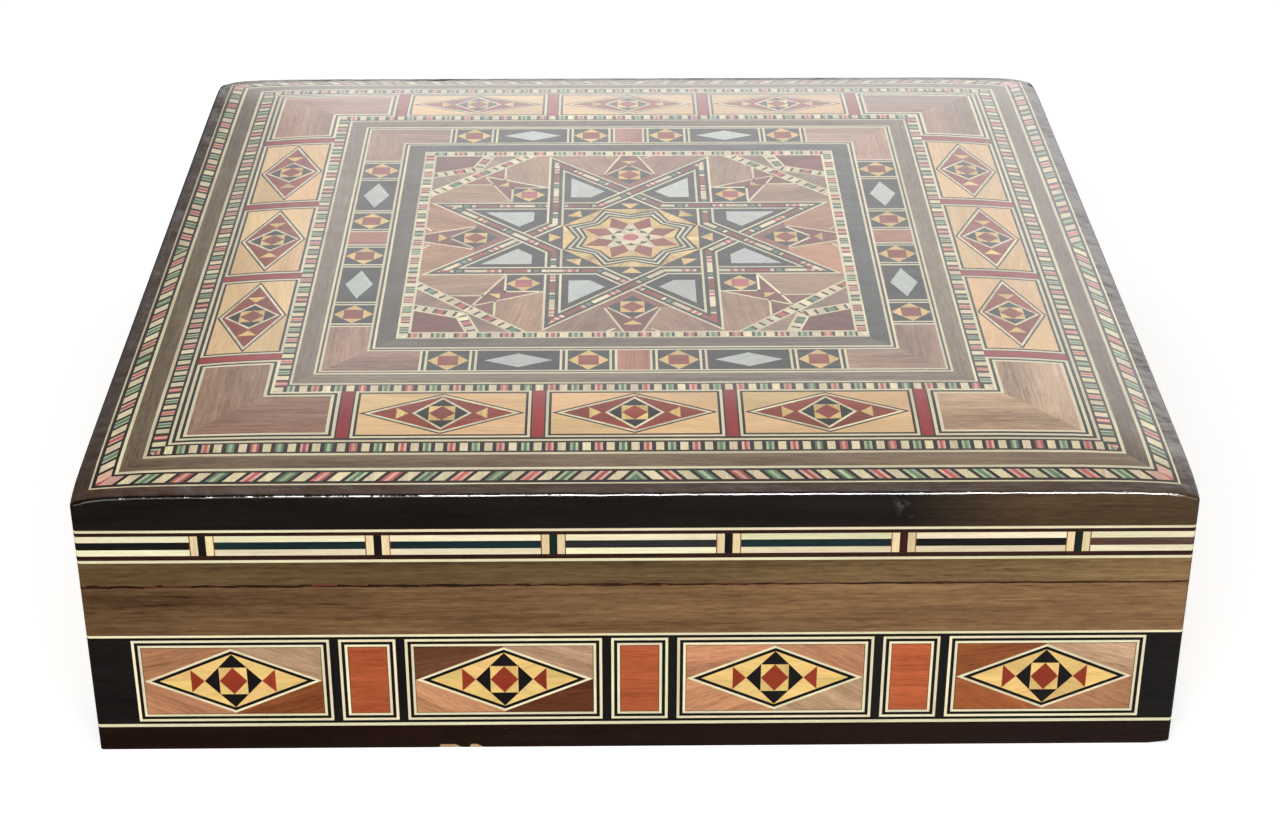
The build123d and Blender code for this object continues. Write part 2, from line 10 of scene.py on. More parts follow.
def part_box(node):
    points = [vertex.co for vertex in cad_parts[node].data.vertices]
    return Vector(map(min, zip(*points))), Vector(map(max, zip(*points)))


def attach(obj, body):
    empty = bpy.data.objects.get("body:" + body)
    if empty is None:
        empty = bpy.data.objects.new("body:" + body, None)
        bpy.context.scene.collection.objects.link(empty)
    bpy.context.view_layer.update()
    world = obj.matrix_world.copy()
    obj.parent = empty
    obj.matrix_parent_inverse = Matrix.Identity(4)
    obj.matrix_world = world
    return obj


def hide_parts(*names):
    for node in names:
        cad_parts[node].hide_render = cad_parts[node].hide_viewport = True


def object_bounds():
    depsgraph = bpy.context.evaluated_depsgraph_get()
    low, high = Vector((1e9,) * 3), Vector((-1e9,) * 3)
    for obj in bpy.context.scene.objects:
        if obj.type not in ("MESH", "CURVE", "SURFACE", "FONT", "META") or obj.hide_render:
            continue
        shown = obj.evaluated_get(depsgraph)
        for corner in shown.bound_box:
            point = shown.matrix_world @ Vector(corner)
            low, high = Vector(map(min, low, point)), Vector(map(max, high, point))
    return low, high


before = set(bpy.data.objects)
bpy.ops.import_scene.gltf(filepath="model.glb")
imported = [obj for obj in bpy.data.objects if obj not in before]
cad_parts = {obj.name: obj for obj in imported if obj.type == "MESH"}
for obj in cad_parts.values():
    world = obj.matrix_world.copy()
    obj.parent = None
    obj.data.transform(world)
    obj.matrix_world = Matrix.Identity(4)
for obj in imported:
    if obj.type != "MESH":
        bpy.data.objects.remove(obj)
cad_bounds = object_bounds()

MM = 0.001
QUARTER = math.pi / 2
HANDS = (-1, 1)


# ---------------------------------------------------------------- sizes, in millimetres
def reach(node):
    """Half size of one square ring of the frame."""
    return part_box(node)[1].x / MM


def level(node, end):
    """Lowest (end 0) or highest (end 1) point of a node of the frame."""
    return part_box(node)[end].z / MM


HALF = cad_bounds[1][0] / MM
FLAT_TOP = cad_bounds[1][2] / MM
EDGE_TOP = 68.5
CROWN = FLAT_TOP - EDGE_TOP
CROWN_FLAT = 80.0
CROWN_RADIUS = ((HALF - CROWN_FLAT) ** 2 + CROWN**2) / (2 * CROWN)
CORNER_POWER = 16
CORNER_ROUND = 0.9
WORN_FROM = 242.0
WORN_DROP = 1.0
VENEER = 1.5
SEAM = 45.0
SEAM_GAP = 0.2
RIM_REACH = 0.5
HINGE_Y = 122.0
GROOVE_SLOPE = math.tan(math.radians(50.5))

# Rings of the top, each as its distance out from the centre
ROPE = reach("top_rope_banding")
ROPE_BLOCKS = (116.9, 119.9)
OUTER_WALNUT = reach("top_outer_walnut_band")
CHECK = reach("top_check_banding")
CHECK_BLOCKS = (106.4, 109.4)
PANEL_OUT = reach("top_red_dividers")
INNER_CHECK = reach("top_inner_check_banding")
INNER_CHECK_IN = 81.5
INNER_WALNUT = reach("top_inner_walnut_band")
INNER_WALNUT_IN = INNER_WALNUT - 4.5
PEARL_OUT = reach("top_ebony_tiles")
PEARL_IN = PEARL_OUT - 10.0
DARK_FRAME = reach("top_dark_frame")
DARK_FRAME_IN = 57.7
FINE_CHECK = reach("top_fine_check_banding")
FINE_CHECK_IN = 54.9
FIELD = reach("field_corner_segments")

# ---------------------------------------------------------------- stains, as display colours
STAINS = {
    "ivory": (0.92, 0.89, 0.75),
    "cream": (0.92, 0.87, 0.72),
    "lemon": (0.91, 0.775, 0.49),
    "top_lemon": (0.935, 0.785, 0.575),
    "ebony": (0.10, 0.09, 0.085),
    "dark": (0.17, 0.13, 0.11),
    "teal": (0.10, 0.17, 0.18),
    "slate": (0.26, 0.26, 0.25),
    "dark_green": (0.09, 0.15, 0.12),
    "slate_bar": (0.18, 0.18, 0.19),
    "moulding": (0.105, 0.085, 0.07),
    "border": (0.29, 0.215, 0.165),
    "foot": (0.13, 0.07, 0.045),
    "walnut": (0.475, 0.37, 0.25),
    "brown": (0.46, 0.385, 0.30),
    "grey_brown": (0.505, 0.44, 0.365),
    "taupe": (0.40, 0.36, 0.31),
    "pink_walnut": (0.74, 0.53, 0.39),
    "tan_walnut": (0.74, 0.61, 0.485),
    "field_walnut": (0.68, 0.53, 0.42),
    "taupe_field": (0.58, 0.47, 0.40),
    "red_brown": (0.56, 0.32, 0.18),
    "umber": (0.45, 0.28, 0.19),
    "corner_walnut": (0.67, 0.53, 0.44),
    "dark_taupe": (0.31, 0.265, 0.22),
    "rose_walnut": (0.63, 0.48, 0.39),
    "dark_walnut": (0.40, 0.22, 0.13),
    "mauve": (0.56, 0.32, 0.26),
    "plum": (0.48, 0.22, 0.19),
    "redwood": (0.58, 0.22, 0.14),
    "rosewood_pink": (0.74, 0.38, 0.36),
    "crimson": (0.62, 0.12, 0.14),
    "dark_red": (0.22, 0.09, 0.08),
    "bar_edge": (0.20, 0.115, 0.085),
    "bar_brown": (0.36, 0.26, 0.22),
    # The next two stains are painted shade along the seam gap between lid and base, together with chipped
    # lacquer
    "seam_shade_wear_dark": (0.15, 0.085, 0.06),
    "seam_shade_wear_red": (0.40, 0.22, 0.17),
    "cap": (0.91, 0.84, 0.66),
    "bare_wood": (0.74, 0.66, 0.50),
    "padauk": (0.675, 0.35, 0.21),
    "pale_padauk": (0.69, 0.45, 0.36),
    "red": (0.78, 0.38, 0.37),
    "pale_red": (0.88, 0.70, 0.63),
    "green": (0.39, 0.53, 0.40),
    "pale_green": (0.71, 0.77, 0.63),
    "pearl": (0.66, 0.67, 0.645),
}
rng = random.Random(20261116)


def linear(channel):
    return channel / 12.92 if channel <= 0.04045 else ((channel + 0.055) / 1.055) ** 2.4


def light(colour, factor=1):
    """A display colour, made lighter or darker, as a linear shader colour."""
    return (*[linear(min(1, c * factor)) for c in colour], 1)


def stain_colour(stain, spread=0.05):
    """The stain as linear light, a little lighter or darker for each piece of wood."""
    shade = 1 + rng.uniform(-spread, spread)
    return [linear(min(1, c * shade * (1 + rng.uniform(-0.015, 0.015)))) for c in STAINS[stain]]


# ---------------------------------------------------------------- plane geometry
def clip(outline, a, b, limit):
    """The part of a convex outline where a*x + b*y <= limit."""
    kept = []
    for index, here in enumerate(outline):
        there = outline[(index + 1) % len(outline)]
        d_here = a * here[0] + b * here[1] - limit
        d_there = a * there[0] + b * there[1] - limit
        if d_here <= 0:
            kept.append(here)
        if d_here * d_there < 0:
            t = d_here / (d_here - d_there)
            kept.append((here[0] + t * (there[0] - here[0]), here[1] + t * (there[1] - here[1])))
    return kept


def between(outline, along, low, high):
    """The part of an outline from low to high in one direction."""
    return clip(clip(outline, -along[0], -along[1], -low), along[0], along[1], high)


def mitred(outline):
    """The part of an outline between the two diagonals of the top."""
    return clip(clip(outline, 1, -1, 0), -1, -1, 0)


def area(outline):
    total = 0
    for index, (x, y) in enumerate(outline):
        u, v = outline[(index + 1) % len(outline)]
        total += x * v - u * y
    return total / 2


def slices(outline, axis, cuts):
    """Splits a convex outline at each cut along one axis."""
    a, b = (1, 0) if axis == 0 else (0, 1)
    parts = []
    rest = outline
    for cut in cuts:
        low = clip(rest, a, b, cut)
        rest = clip(rest, -a, -b, -cut)
        if len(low) > 2 and abs(area(low)) > 1e-7:
            parts.append(low)
        if len(rest) < 3:
            return parts
    if abs(area(rest)) > 1e-7:
        parts.append(rest)
    return parts


def rectangle(x0, x1, y0, y1):
    return [(x0, y0), (x1, y0), (x1, y1), (x0, y1)]


def square_at(cx, cy, half_x, half_y):
    return rectangle(cx - half_x, cx + half_x, cy - half_y, cy + half_y)


def diamond(cx, cy, rx, ry):
    return [(cx - rx, cy), (cx, cy - ry), (cx + rx, cy), (cx, cy + ry)]


def halfway(a, b):
    return ((a[0] + b[0]) / 2, (a[1] + b[1]) / 2)


def turned(point, angle):
    c, s = math.cos(angle), math.sin(angle)
    return (c * point[0] - s * point[1], s * point[0] + c * point[1])


def ray(radius, degrees):
    return (radius * math.cos(math.radians(degrees)), radius * math.sin(math.radians(degrees)))


def meet(first, first_distance, second, second_distance):
    """Where two lines meet, each given by the direction of its normal in degrees and its distance."""
    a, b = ray(1, first)
    c, d = ray(1, second)
    across = a * d - b * c
    x = (first_distance * d - b * second_distance) / across
    return (x, (a * second_distance - first_distance * c) / across)


# ---------------------------------------------------------------- where the finished surface is
def arc_drop(past):
    """How far the crown falls this far out from its flat middle."""
    return CROWN_RADIUS - math.sqrt(CROWN_RADIUS**2 - past * past) if past > 0 else 0.0


def crown_drop(x, y):
    """How far the lid's surface lies below its flat middle."""
    span = (abs(x) ** CORNER_POWER + abs(y) ** CORNER_POWER) ** (1 / CORNER_POWER)
    worn = max(0.0, abs(x) + abs(y) - WORN_FROM) / (2 * HALF - WORN_FROM)
    return arc_drop(span - CROWN_FLAT) + WORN_DROP * worn * worn


class Top:
    """The lid's upper surface. Points are given along one side (x) and out from the centre (y)."""

    cuts = (
        [-118, -110, -100, -84, -60, -30, 0, 30, 60, 84, 100, 110, 118],
        [80, 86, 92, 98, 104, 110, 116, 120],
    )
    proud = 0.02
    thinnest = 0.1

    def __init__(self, side):
        self.angle = side * QUARTER

    def point(self, x, y, depth):
        px, py = turned((x, -y), self.angle)
        board = FLAT_TOP - VENEER - arc_drop(max(abs(px), abs(py)) - CROWN_FLAT)
        z = FLAT_TOP - crown_drop(px, py)
        return (px, py, max(z - depth, min(board + self.proud, z - self.thinnest)))

    def normal(self, x, y):
        x, y = turned((x, -y), self.angle)
        step = 0.05
        slope_x = (crown_drop(x + step, y) - crown_drop(x - step, y)) / (2 * step)
        slope_y = (crown_drop(x, y + step) - crown_drop(x, y - step)) / (2 * step)
        return Vector((slope_x, slope_y, 1)).normalized()


class Flat:
    """The flat middle of the top, turned by any number of degrees."""

    cuts = ([], [])

    def __init__(self, degrees, lift=0.0):
        self.angle = math.radians(degrees)
        self.lift = lift

    def point(self, x, y, depth):
        return (*turned((x, y), self.angle), FLAT_TOP + self.lift - depth)

    def normal(self, x, y):
        return Vector((0, 0, 1))


def round_corner(x, angle, out):
    """A point this far out on the rounded upright edge at either end of a side."""
    centre = HALF - CORNER_ROUND
    radius = out - centre
    return (math.copysign(centre, x) + radius * math.sin(angle), -(centre + radius * math.cos(angle)))


class Side:
    """One upright side. Points are given along the side (x) and up (y)."""

    steps = [CORNER_ROUND * (1 - part / 4) for part in range(4)]
    cuts = ([step - HALF for step in reversed(steps)] + [-HINGE_Y, -60, 0, 60, HINGE_Y], [])
    cuts[0].extend(HALF - step for step in steps)

    def __init__(self, side):
        self.angle = side * QUARTER

    def bend(self, x):
        """How far the rounded upright edge has turned at x."""
        past = abs(x) - (HALF - CORNER_ROUND)
        return 0.0 if past <= 0 else math.copysign(past / CORNER_ROUND * math.pi / 4, x)

    def point(self, x, y, depth):
        angle = self.bend(x)
        inset = HALF - depth
        if angle and depth <= CORNER_ROUND:
            local = round_corner(x, angle, inset)
        else:
            local = (max(-inset, min(x, inset)), -inset)
        px, py = turned(local, self.angle)
        if abs(y - SEAM) < RIM_REACH:
            y = SEAM + math.copysign(max(SEAM_GAP / 2, (py - HINGE_Y) * GROOVE_SLOPE), y - SEAM)
        return (px, py, y)

    def normal(self, x, y):
        angle = self.bend(x)
        return Vector((*turned((math.sin(angle), -math.cos(angle)), self.angle), 0))


class ShadedWornSide(Side):
    """Thin marks that lie on one upright side, a hair proud of it: painted shade along the seam gap, with
    chipped lacquer.
    """

    proud = 0.03

    def point(self, x, y, depth):
        px, py, _ = super().point(x, y, depth - self.proud)
        groove = max(0.0, (py - HINGE_Y) * GROOVE_SLOPE - SEAM_GAP / 2)
        return (px, py, y + math.copysign(groove, y - SEAM))


# ---------------------------------------------------------------- laying wood
SMALLEST = 1e-4
SAME_SPOT = 2e-4
GRAIN_SHIFT = 900


def add_piece(name, mesh, material, slot, node):
    """Adds a laid mesh to the body its name starts with, in place of a node of the frame if one is given."""
    mesh.materials.append(material)
    piece = bpy.data.objects.new(name, mesh)
    bpy.context.scene.collection.objects.link(piece)
    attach(piece, "base" if name.startswith("base") else "lid")
    if node:
        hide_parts(node)


class Inlay:
    """Collects flush pieces of wood into one object, each a closed solid with its own colour and grain."""

    every = []

    def __init__(self, name, material, slot, node=None, depth=VENEER):
        self.look = (material, slot, node)
        self.name = name
        self.depth = depth
        self.points, self.faces, self.normals, self.stains, self.grains = [], [], [], [], []
        Inlay.every.append(self)

    def lay(self, place, outline, stain, grain=0.0, spread=0.05, shade=None):
        """Lays one convex outline, with its fibres at grain degrees. shade gives its brightness by place."""
        if len(outline) < 3 or abs(area(outline)) < SMALLEST:
            return
        if area(outline) < 0:
            outline = outline[::-1]
        colour = stain_colour(stain, spread)
        shift = [rng.uniform(-GRAIN_SHIFT, GRAIN_SHIFT) for _ in range(3)]
        cos_g, sin_g = ray(1, grain)
        known = {}

        def corner(point, depth):
            spot = place.point(*point, depth)
            key = tuple(round(c, 4) for c in spot)
            if key not in known:
                known[key] = len(self.points)
                self.points.append([MM * c for c in spot])
            return known[key]

        def face(corners, normals, spots):
            order = [i for i in range(len(corners)) if corners[i] != corners[i - 1]]
            if len(set(corners)) < 3 or len(order) != len(set(corners)):
                return
            if isinstance(place, Top):
                order.reverse()
            self.faces.append([corners[i] for i in order])
            for i in order:
                self.normals.append(normals[i])
                x, y = spots[i]
                factor = shade(x, y) if shade else 1
                self.stains.append((*[factor * c for c in colour], 1))
                along, across = cos_g * x + sin_g * y + shift[0], cos_g * y - sin_g * x + shift[1]
                self.grains.append((along * MM, across * MM, shift[2] * MM))

        edges = {}
        bands = slices(outline, 1, place.cuts[1])
        for cell in (cell for band in bands for cell in slices(band, 0, place.cuts[0])):
            clean = []
            for spot in cell:
                if not clean or math.dist(spot, clean[-1]) > SAME_SPOT:
                    clean.append(spot)
            if len(clean) > 2 and math.dist(clean[0], clean[-1]) < SAME_SPOT:
                clean.pop()
            if len(clean) < 3:
                continue
            upper = [corner(spot, 0) for spot in clean]
            lower = [corner(spot, self.depth) for spot in clean]
            face(upper, [place.normal(*spot) for spot in clean], clean)
            face(lower[::-1], [(0, 0, 0)] * len(clean), clean[::-1])
            for index, spot in enumerate(clean):
                other = (index + 1) % len(clean)
                pair = (upper[index], upper[other])
                if pair[::-1] in edges:
                    del edges[pair[::-1]]
                else:
                    edges[pair] = (lower[index], lower[other], spot, clean[other])
        for (a, b), (c, d, spot, other) in edges.items():
            face([a, c, d, b], [(0, 0, 0)] * 4, [spot, spot, other, other])

    def build(self):
        """Makes the object. Faces laid without a normal of their own are shaded flat."""
        mesh = bpy.data.meshes.new(self.name)
        mesh.from_pydata(self.points, [], self.faces)
        mesh.polygons.foreach_set("use_smooth", [True] * len(mesh.polygons))
        stain = mesh.attributes.new("stain", "FLOAT_COLOR", "CORNER")
        stain.data.foreach_set("color", [c for row in self.stains for c in row])
        grain = mesh.attributes.new("grain", "FLOAT_VECTOR", "CORNER")
        grain.data.foreach_set("vector", [c for row in self.grains for c in row])
        flat = [polygon.normal.copy() for polygon in mesh.polygons for _ in range(polygon.loop_total)]
        given = [Vector(normal) for normal in self.normals]
        mesh.normals_split_custom_set([own if own.length > 0.5 else other for own, other in zip(given, flat)])
        add_piece(self.name, mesh, *self.look)


def rings(inlay, out, *strips, spread=0.05):
    """Mitred strips round the top from the outside in, each given by its stain and its inner edge."""
    for stain, end in strips:
        for side in range(4):
            inlay.lay(Top(side), [(-out, out), (out, out), (end, end), (-end, end)], stain, 0, spread)
        out = end


def side_line(inlay, low, high, stain):
    for side in range(4):
        inlay.lay(Side(side), rectangle(-HALF, HALF, low, high), stain)


def framed(inlay, place, outer, inner, stain, turn):
    """Four strips between two four-cornered outlines, the fibres turned from each to the next."""
    for index in range(4):
        other = (index + 1) % 4
        inlay.lay(place, [outer[index], outer[other], inner[other], inner[index]], stain, turn * index)


def lines(inlay, place, x0, x1, y0, y1, stripes):
    """Nested rectangles of stringing from the outside in. Returns the opening left inside."""
    for width, stain in stripes:
        opening = (x0 + width, x1 - width, y0 + width, y1 - width)
        framed(inlay, place, rectangle(x0, x1, y0, y1), rectangle(*opening), stain, 90)
        x0, x1, y0, y1 = opening
    return opening


def diamond_lines(inlay, place, shape, stripes):
    """Nested diamonds of stringing from the outside in. Returns the diamond left inside."""
    for width, stain in stripes:
        cx, cy, rx, ry = shape
        shrink = width * math.hypot(rx, ry) / (rx * ry)
        inner = (cx, cy, rx * (1 - shrink), ry * (1 - shrink))
        framed(inlay, place, diamond(*shape), diamond(*inner), stain, 0)
        shape = inner
    return shape


def tile(inlay, place, corners, peaks):
    """The ebony round a diamond in a rectangle. Pieces without area, where the two touch, are not laid."""
    for index in range(4):
        other = (index + 1) % 4
        inlay.lay(place, [corners[index], corners[other], peaks[other]], "ebony", 90 * index)
        inlay.lay(place, [corners[index], peaks[other], peaks[index]], "ebony", 90 * index)


# ---------------------------------------------------------------- bandings of small blocks
BLOCK_HUES = ("cream", "red", "cream", "green")


def striped(inlay, place, left, right, shape, hue):
    """One block, plain cream or three thin layers of red or green. shape makes a stretch of x an outline."""
    if hue == "cream":
        inlay.lay(place, shape(left, right), "cream", 90, 0.07)
        return
    pale = "pale_" + hue
    width = right - left
    cut_a, cut_b = left + 0.3 * width, left + 0.7 * width
    first, second = (pale, hue) if rng.random() < 0.7 else (hue, pale)
    inlay.lay(place, shape(left, cut_a), first, 90, 0.08)
    inlay.lay(place, shape(cut_a, cut_b), second, 90, 0.1)
    inlay.lay(place, shape(cut_b, right), first, 90, 0.08)


def check_banding(inlay, low, high, pitch=2.77, gap=0.95):
    """Upright blocks with dark wood between them along the four sides of the top."""

    def shape(left, right):
        return mitred(rectangle(left, right, low, high))

    for side in range(4):
        place = Top(side)
        for number in range(math.floor(-high / pitch), math.ceil(high / pitch) + 1):
            left = number * pitch + rng.uniform(-0.06, 0.06) - (pitch - gap) / 2
            inlay.lay(place, shape(number * pitch - pitch / 2, left), "dark", 90)
            striped(inlay, place, left, left + pitch - gap, shape, BLOCK_HUES[number % 4])
            inlay.lay(place, shape(left + pitch - gap, number * pitch + pitch / 2), "dark", 90)


def rope_banding(inlay, low, high, pitch=3.88, gap=1.1, lean=2.4):
    """Slanting blocks that lean towards the corners from the middle of each side, each corner block red."""
    count = math.floor((low + high) / 2 / pitch)
    for side, hand in ((side, hand) for side in range(4) for hand in HANDS):
        place = Top(side)

        def shape(left, right):
            ends = ((left, 1, high), (right, 1, high), (right, -1, low), (left, -1, low))
            outline = [(hand * (x + way * lean / 2), y) for x, way, y in ends]
            return clip(mitred(outline), -hand, 0, 0)

        for number in range(count + 1):
            middle = number * pitch
            left, right = middle - (pitch - gap) / 2, middle + (pitch - gap) / 2
            hue = BLOCK_HUES[(count - number + 1) % 4] if number else "green"
            if number:
                inlay.lay(place, shape(middle - pitch / 2, left), "dark", 60)
            else:
                left = middle - pitch / 2
            if number < count:
                striped(inlay, place, left, right, shape, hue)
                inlay.lay(place, shape(right, middle + pitch / 2), "dark", 60)
            else:
                striped(inlay, place, left, HALF, shape, "red")


# ---------------------------------------------------------------- materials
class Nodes:
    """Short names for the shader nodes of one material or world."""

    def __init__(self, name, kind="materials", shader="BSDF_PRINCIPLED"):
        self.owner = getattr(bpy.data, kind).new(name)
        self.owner.use_nodes = True
        self.tree = self.owner.node_tree
        self.shader = self.find(shader)

    def find(self, kind):
        return next(node for node in self.tree.nodes if node.type == kind)

    def new(self, kind, inputs=None, **settings):
        node = self.tree.nodes.new(kind)
        for key, value in settings.items():
            setattr(node, key, value)
        for key, value in (inputs or {}).items():
            self.put(node.inputs[key], value)
        return node

    def put(self, socket, value):
        if isinstance(value, bpy.types.NodeSocket):
            self.tree.links.new(value, socket)
        else:
            socket.default_value = value

    def set(self, **values):
        for key, value in values.items():
            self.put(self.shader.inputs[key.replace("_", " ")], value)

    def attribute(self, name, output="Vector"):
        return self.new("ShaderNodeAttribute", attribute_name=name).outputs[output]

    def place(self, output="Object"):
        return self.new("ShaderNodeTexCoord").outputs[output]

    def apart(self, vector):
        return self.new("ShaderNodeSeparateXYZ", {"Vector": vector}).outputs

    def stretch(self, vector, scale):
        return self.new("ShaderNodeMapping", {"Vector": vector, "Scale": scale}).outputs["Vector"]

    def noise(self, vector, scale, detail=3.0, roughness=0.5, distortion=0.0):
        inputs = {"Vector": vector, "Scale": scale, "Detail": detail}
        inputs.update(Roughness=roughness, Distortion=distortion)
        return self.new("ShaderNodeTexNoise", inputs).outputs["Fac"]

    def drawn(self, vector, run, *noise):
        """Noise drawn out along x to this share of its frequency across."""
        return self.noise(self.stretch(vector, (run, 1.0, 1.0)), *noise)

    def math(self, operation, a, b):
        return self.new("ShaderNodeMath", {0: a, 1: b}, operation=operation).outputs[0]

    def times(self, a, b):
        return self.math("MULTIPLY", a, b)

    def band(self, value, low, high, to_low=0.0, to_high=1.0, **settings):
        inputs = {"Value": value, "From Min": low, "From Max": high, "To Min": to_low, "To Max": to_high}
        return self.new("ShaderNodeMapRange", inputs, **settings).outputs["Result"]

    def mix(self, factor, a, b, blend="MIX"):
        inputs = {0: factor, 6: a, 7: b}
        return self.new("ShaderNodeMix", inputs, data_type="RGBA", blend_type=blend).outputs[2]

    def grey(self, value):
        return self.new("ShaderNodeCombineColor", dict.fromkeys(range(3), value)).outputs[0]

    def bump(self, height, strength, distance):
        inputs = {"Height": height, "Strength": strength, "Distance": distance}
        return self.new("ShaderNodeBump", inputs).outputs["Normal"]

    def ramp(self, value, marks):
        """Colours at the positions given, from the first to the last."""
        node = self.new("ShaderNodeValToRGB", {"Fac": value})
        elements = node.color_ramp.elements
        for index in (0, -1):
            elements[index].position, elements[index].color = marks[index][0], (*marks[index][1], 1)
        for position, colour in marks[1:-1]:
            elements.new(position).color = (*colour, 1)
        return node.outputs["Color"]


def lacquer(nodes, height, gloss=0.07, strength=0.12):
    """Thick clear lacquer: slightly wavy, faintly dusty and scratched."""
    place = nodes.place()
    film = nodes.math("ADD", nodes.noise(place, 70.0, 2.0), nodes.times(nodes.noise(place, 420.0, 2.0), 0.12))
    sunk = nodes.math("ADD", film, nodes.times(height, 0.05))
    dust = nodes.noise(place, 90.0, 6.0, 0.7)
    nodes.set(
        Coat_Weight=1.0,
        Coat_IOR=1.5,
        Coat_Roughness=nodes.band(dust, 0.35, 0.75, gloss, gloss + 0.1),
        Coat_Normal=nodes.bump(sunk, strength, 0.0012),
    )


def wood(name, figure, pores, ring_scale, gloss=0.07, ripple=0.12):
    """Lacquered wood that takes its colour and the run of its fibres from each laid piece."""
    nodes = Nodes(name)
    stain = nodes.attribute("stain", "Color")
    grain = nodes.attribute("grain")
    rings_noise = nodes.drawn(grain, 0.06, ring_scale, 4.0, 0.55, 0.6)
    streaks = nodes.drawn(grain, 0.035, ring_scale * 9, 3.0, 0.6)
    fibres = nodes.drawn(grain, 0.02, ring_scale * 30, 2.0, 0.5)
    cloud = nodes.drawn(grain, 0.5, ring_scale * 0.5, 2.0)
    mottle = nodes.drawn(grain, 0.14, ring_scale * 12, 4.0, 0.7)
    tone, *others = [
        nodes.times(nodes.band(layer, 0.3, 0.7, -1.0, 1.0), figure * share)
        for layer, share in ((rings_noise, 1), (streaks, 0.55), (fibres, 0.3), (cloud, 0.35), (mottle, 0.8))
    ]
    for other in others:
        tone = nodes.math("ADD", tone, other)
    pore = nodes.drawn(grain, 0.07, ring_scale * 22, 2.0, 0.5)
    pore_mask = nodes.times(nodes.band(pore, 0.62, 0.72), pores)
    colour = nodes.mix(1.0, stain, nodes.grey(nodes.math("ADD", 1.0, tone)), "MULTIPLY")
    warm = nodes.mix(nodes.band(tone, -0.4, 0.4), (1.0, 0.86, 0.78, 1), (1.0, 1.03, 1.02, 1))
    colour = nodes.mix(0.6, colour, nodes.mix(1.0, colour, warm, "MULTIPLY"))
    colour = nodes.mix(pore_mask, colour, nodes.mix(1.0, colour, (0.35, 0.28, 0.22, 1), "MULTIPLY"))
    rubbed = nodes.band(nodes.noise(nodes.place(), 55.0, 3.0, 0.6), 0.69, 0.76)
    specks = nodes.band(nodes.noise(nodes.place(), 900.0, 3.0, 0.7), 0.45, 0.7)
    colour = nodes.mix(nodes.times(nodes.times(rubbed, specks), 0.4), colour, (0.36, 0.34, 0.31, 1))
    height = nodes.math("SUBTRACT", streaks, pore_mask)
    nodes.set(
        Base_Color=colour,
        Roughness=nodes.band(streaks, 0.2, 0.8, 0.42, 0.6),
        Specular_IOR_Level=0.0,
        Normal=nodes.bump(height, 0.25, 0.0002),
    )
    lacquer(nodes, height, gloss, ripple)
    return nodes.owner


SHELL_LAYERS = (
    (0.30, (0.80, 0.86, 0.90)), (0.42, (0.96, 0.93, 0.92)), (0.52, (0.80, 0.90, 0.86)),
    (0.62, (0.98, 0.94, 0.90)), (0.75, (0.74, 0.80, 0.86)),
)


def mother_of_pearl():
    """Shell cut flat: pale layers that turn pink, green and blue across broad swirls."""
    nodes = Nodes("mother_of_pearl")
    grain = nodes.attribute("grain")
    stain = nodes.attribute("stain", "Color")
    swirl = nodes.drawn(grain, 0.6, 170.0, 5.0, 0.6, 2.2)
    layers = nodes.drawn(grain, 0.25, 900.0, 3.0, 0.6, 1.2)
    colour = nodes.mix(1.0, stain, nodes.ramp(swirl, SHELL_LAYERS), "MULTIPLY")
    nodes.set(
        Base_Color=nodes.mix(1.0, colour, nodes.grey(nodes.band(layers, 0.3, 0.7, 0.86, 1.06)), "MULTIPLY"),
        Specular_IOR_Level=0.3,
        Metallic=0.15,
        Roughness=nodes.band(swirl, 0.3, 0.7, 0.2, 0.4),
        Normal=nodes.bump(layers, 0.3, 0.0003),
    )
    lacquer(nodes, layers)
    return nodes.owner


def plain_wood(name, scale):
    """Oiled carcass wood, its fibres along the axis with the small scale."""
    pale, dark = (0.80, 0.62, 0.45), (0.66, 0.47, 0.31)
    nodes = Nodes(name)
    place = nodes.stretch(nodes.place(), scale)
    rings_noise = nodes.noise(place, 160.0, 4.0, 0.55, 0.8)
    fibres = nodes.noise(place, 2600.0, 3.0, 0.6)
    flecks = nodes.noise(place, 1100.0, 1.0, 0.4)
    base = nodes.mix(nodes.band(rings_noise, 0.3, 0.7), light(dark), light(pale))
    base = nodes.mix(nodes.band(fibres, 0.35, 0.7, 0.0, 0.35), base, light(dark, 0.75))
    base = nodes.mix(nodes.band(flecks, 0.66, 0.74, 0.0, 0.4), base, light(dark, 0.6))
    nodes.set(
        Base_Color=base,
        Roughness=nodes.band(fibres, 0.3, 0.7, 0.38, 0.58),
        Normal=nodes.bump(fibres, 0.3, 0.0002),
        Coat_Weight=0.3,
        Coat_Roughness=0.25,
    )
    return nodes.owner


def velvet(name, colour):
    """Short pile: darker face on, with a pale sheen at the edges and patches brushed both ways."""
    nodes = Nodes(name)
    place = nodes.place()
    pile = nodes.noise(place, 5200.0, 2.0, 0.7)
    brushed = nodes.noise(place, 46.0, 3.0, 0.6, 0.8)
    base = nodes.mix(nodes.band(brushed, 0.38, 0.62, 0.15, 0.85), light(colour, 0.88), light(colour, 1.1))
    nodes.set(
        Base_Color=nodes.mix(nodes.band(pile, 0.3, 0.7, 0.0, 0.5), base, light(colour, 0.55)),
        Roughness=nodes.band(pile, 0.3, 0.7, 0.8, 1.0),
        Sheen_Weight=0.8,
        Sheen_Roughness=0.4,
        Sheen_Tint=(1.0, 0.75, 0.75, 1),
        Normal=nodes.bump(nodes.math("ADD", pile, brushed), 0.55, 0.0005),
    )
    return nodes.owner


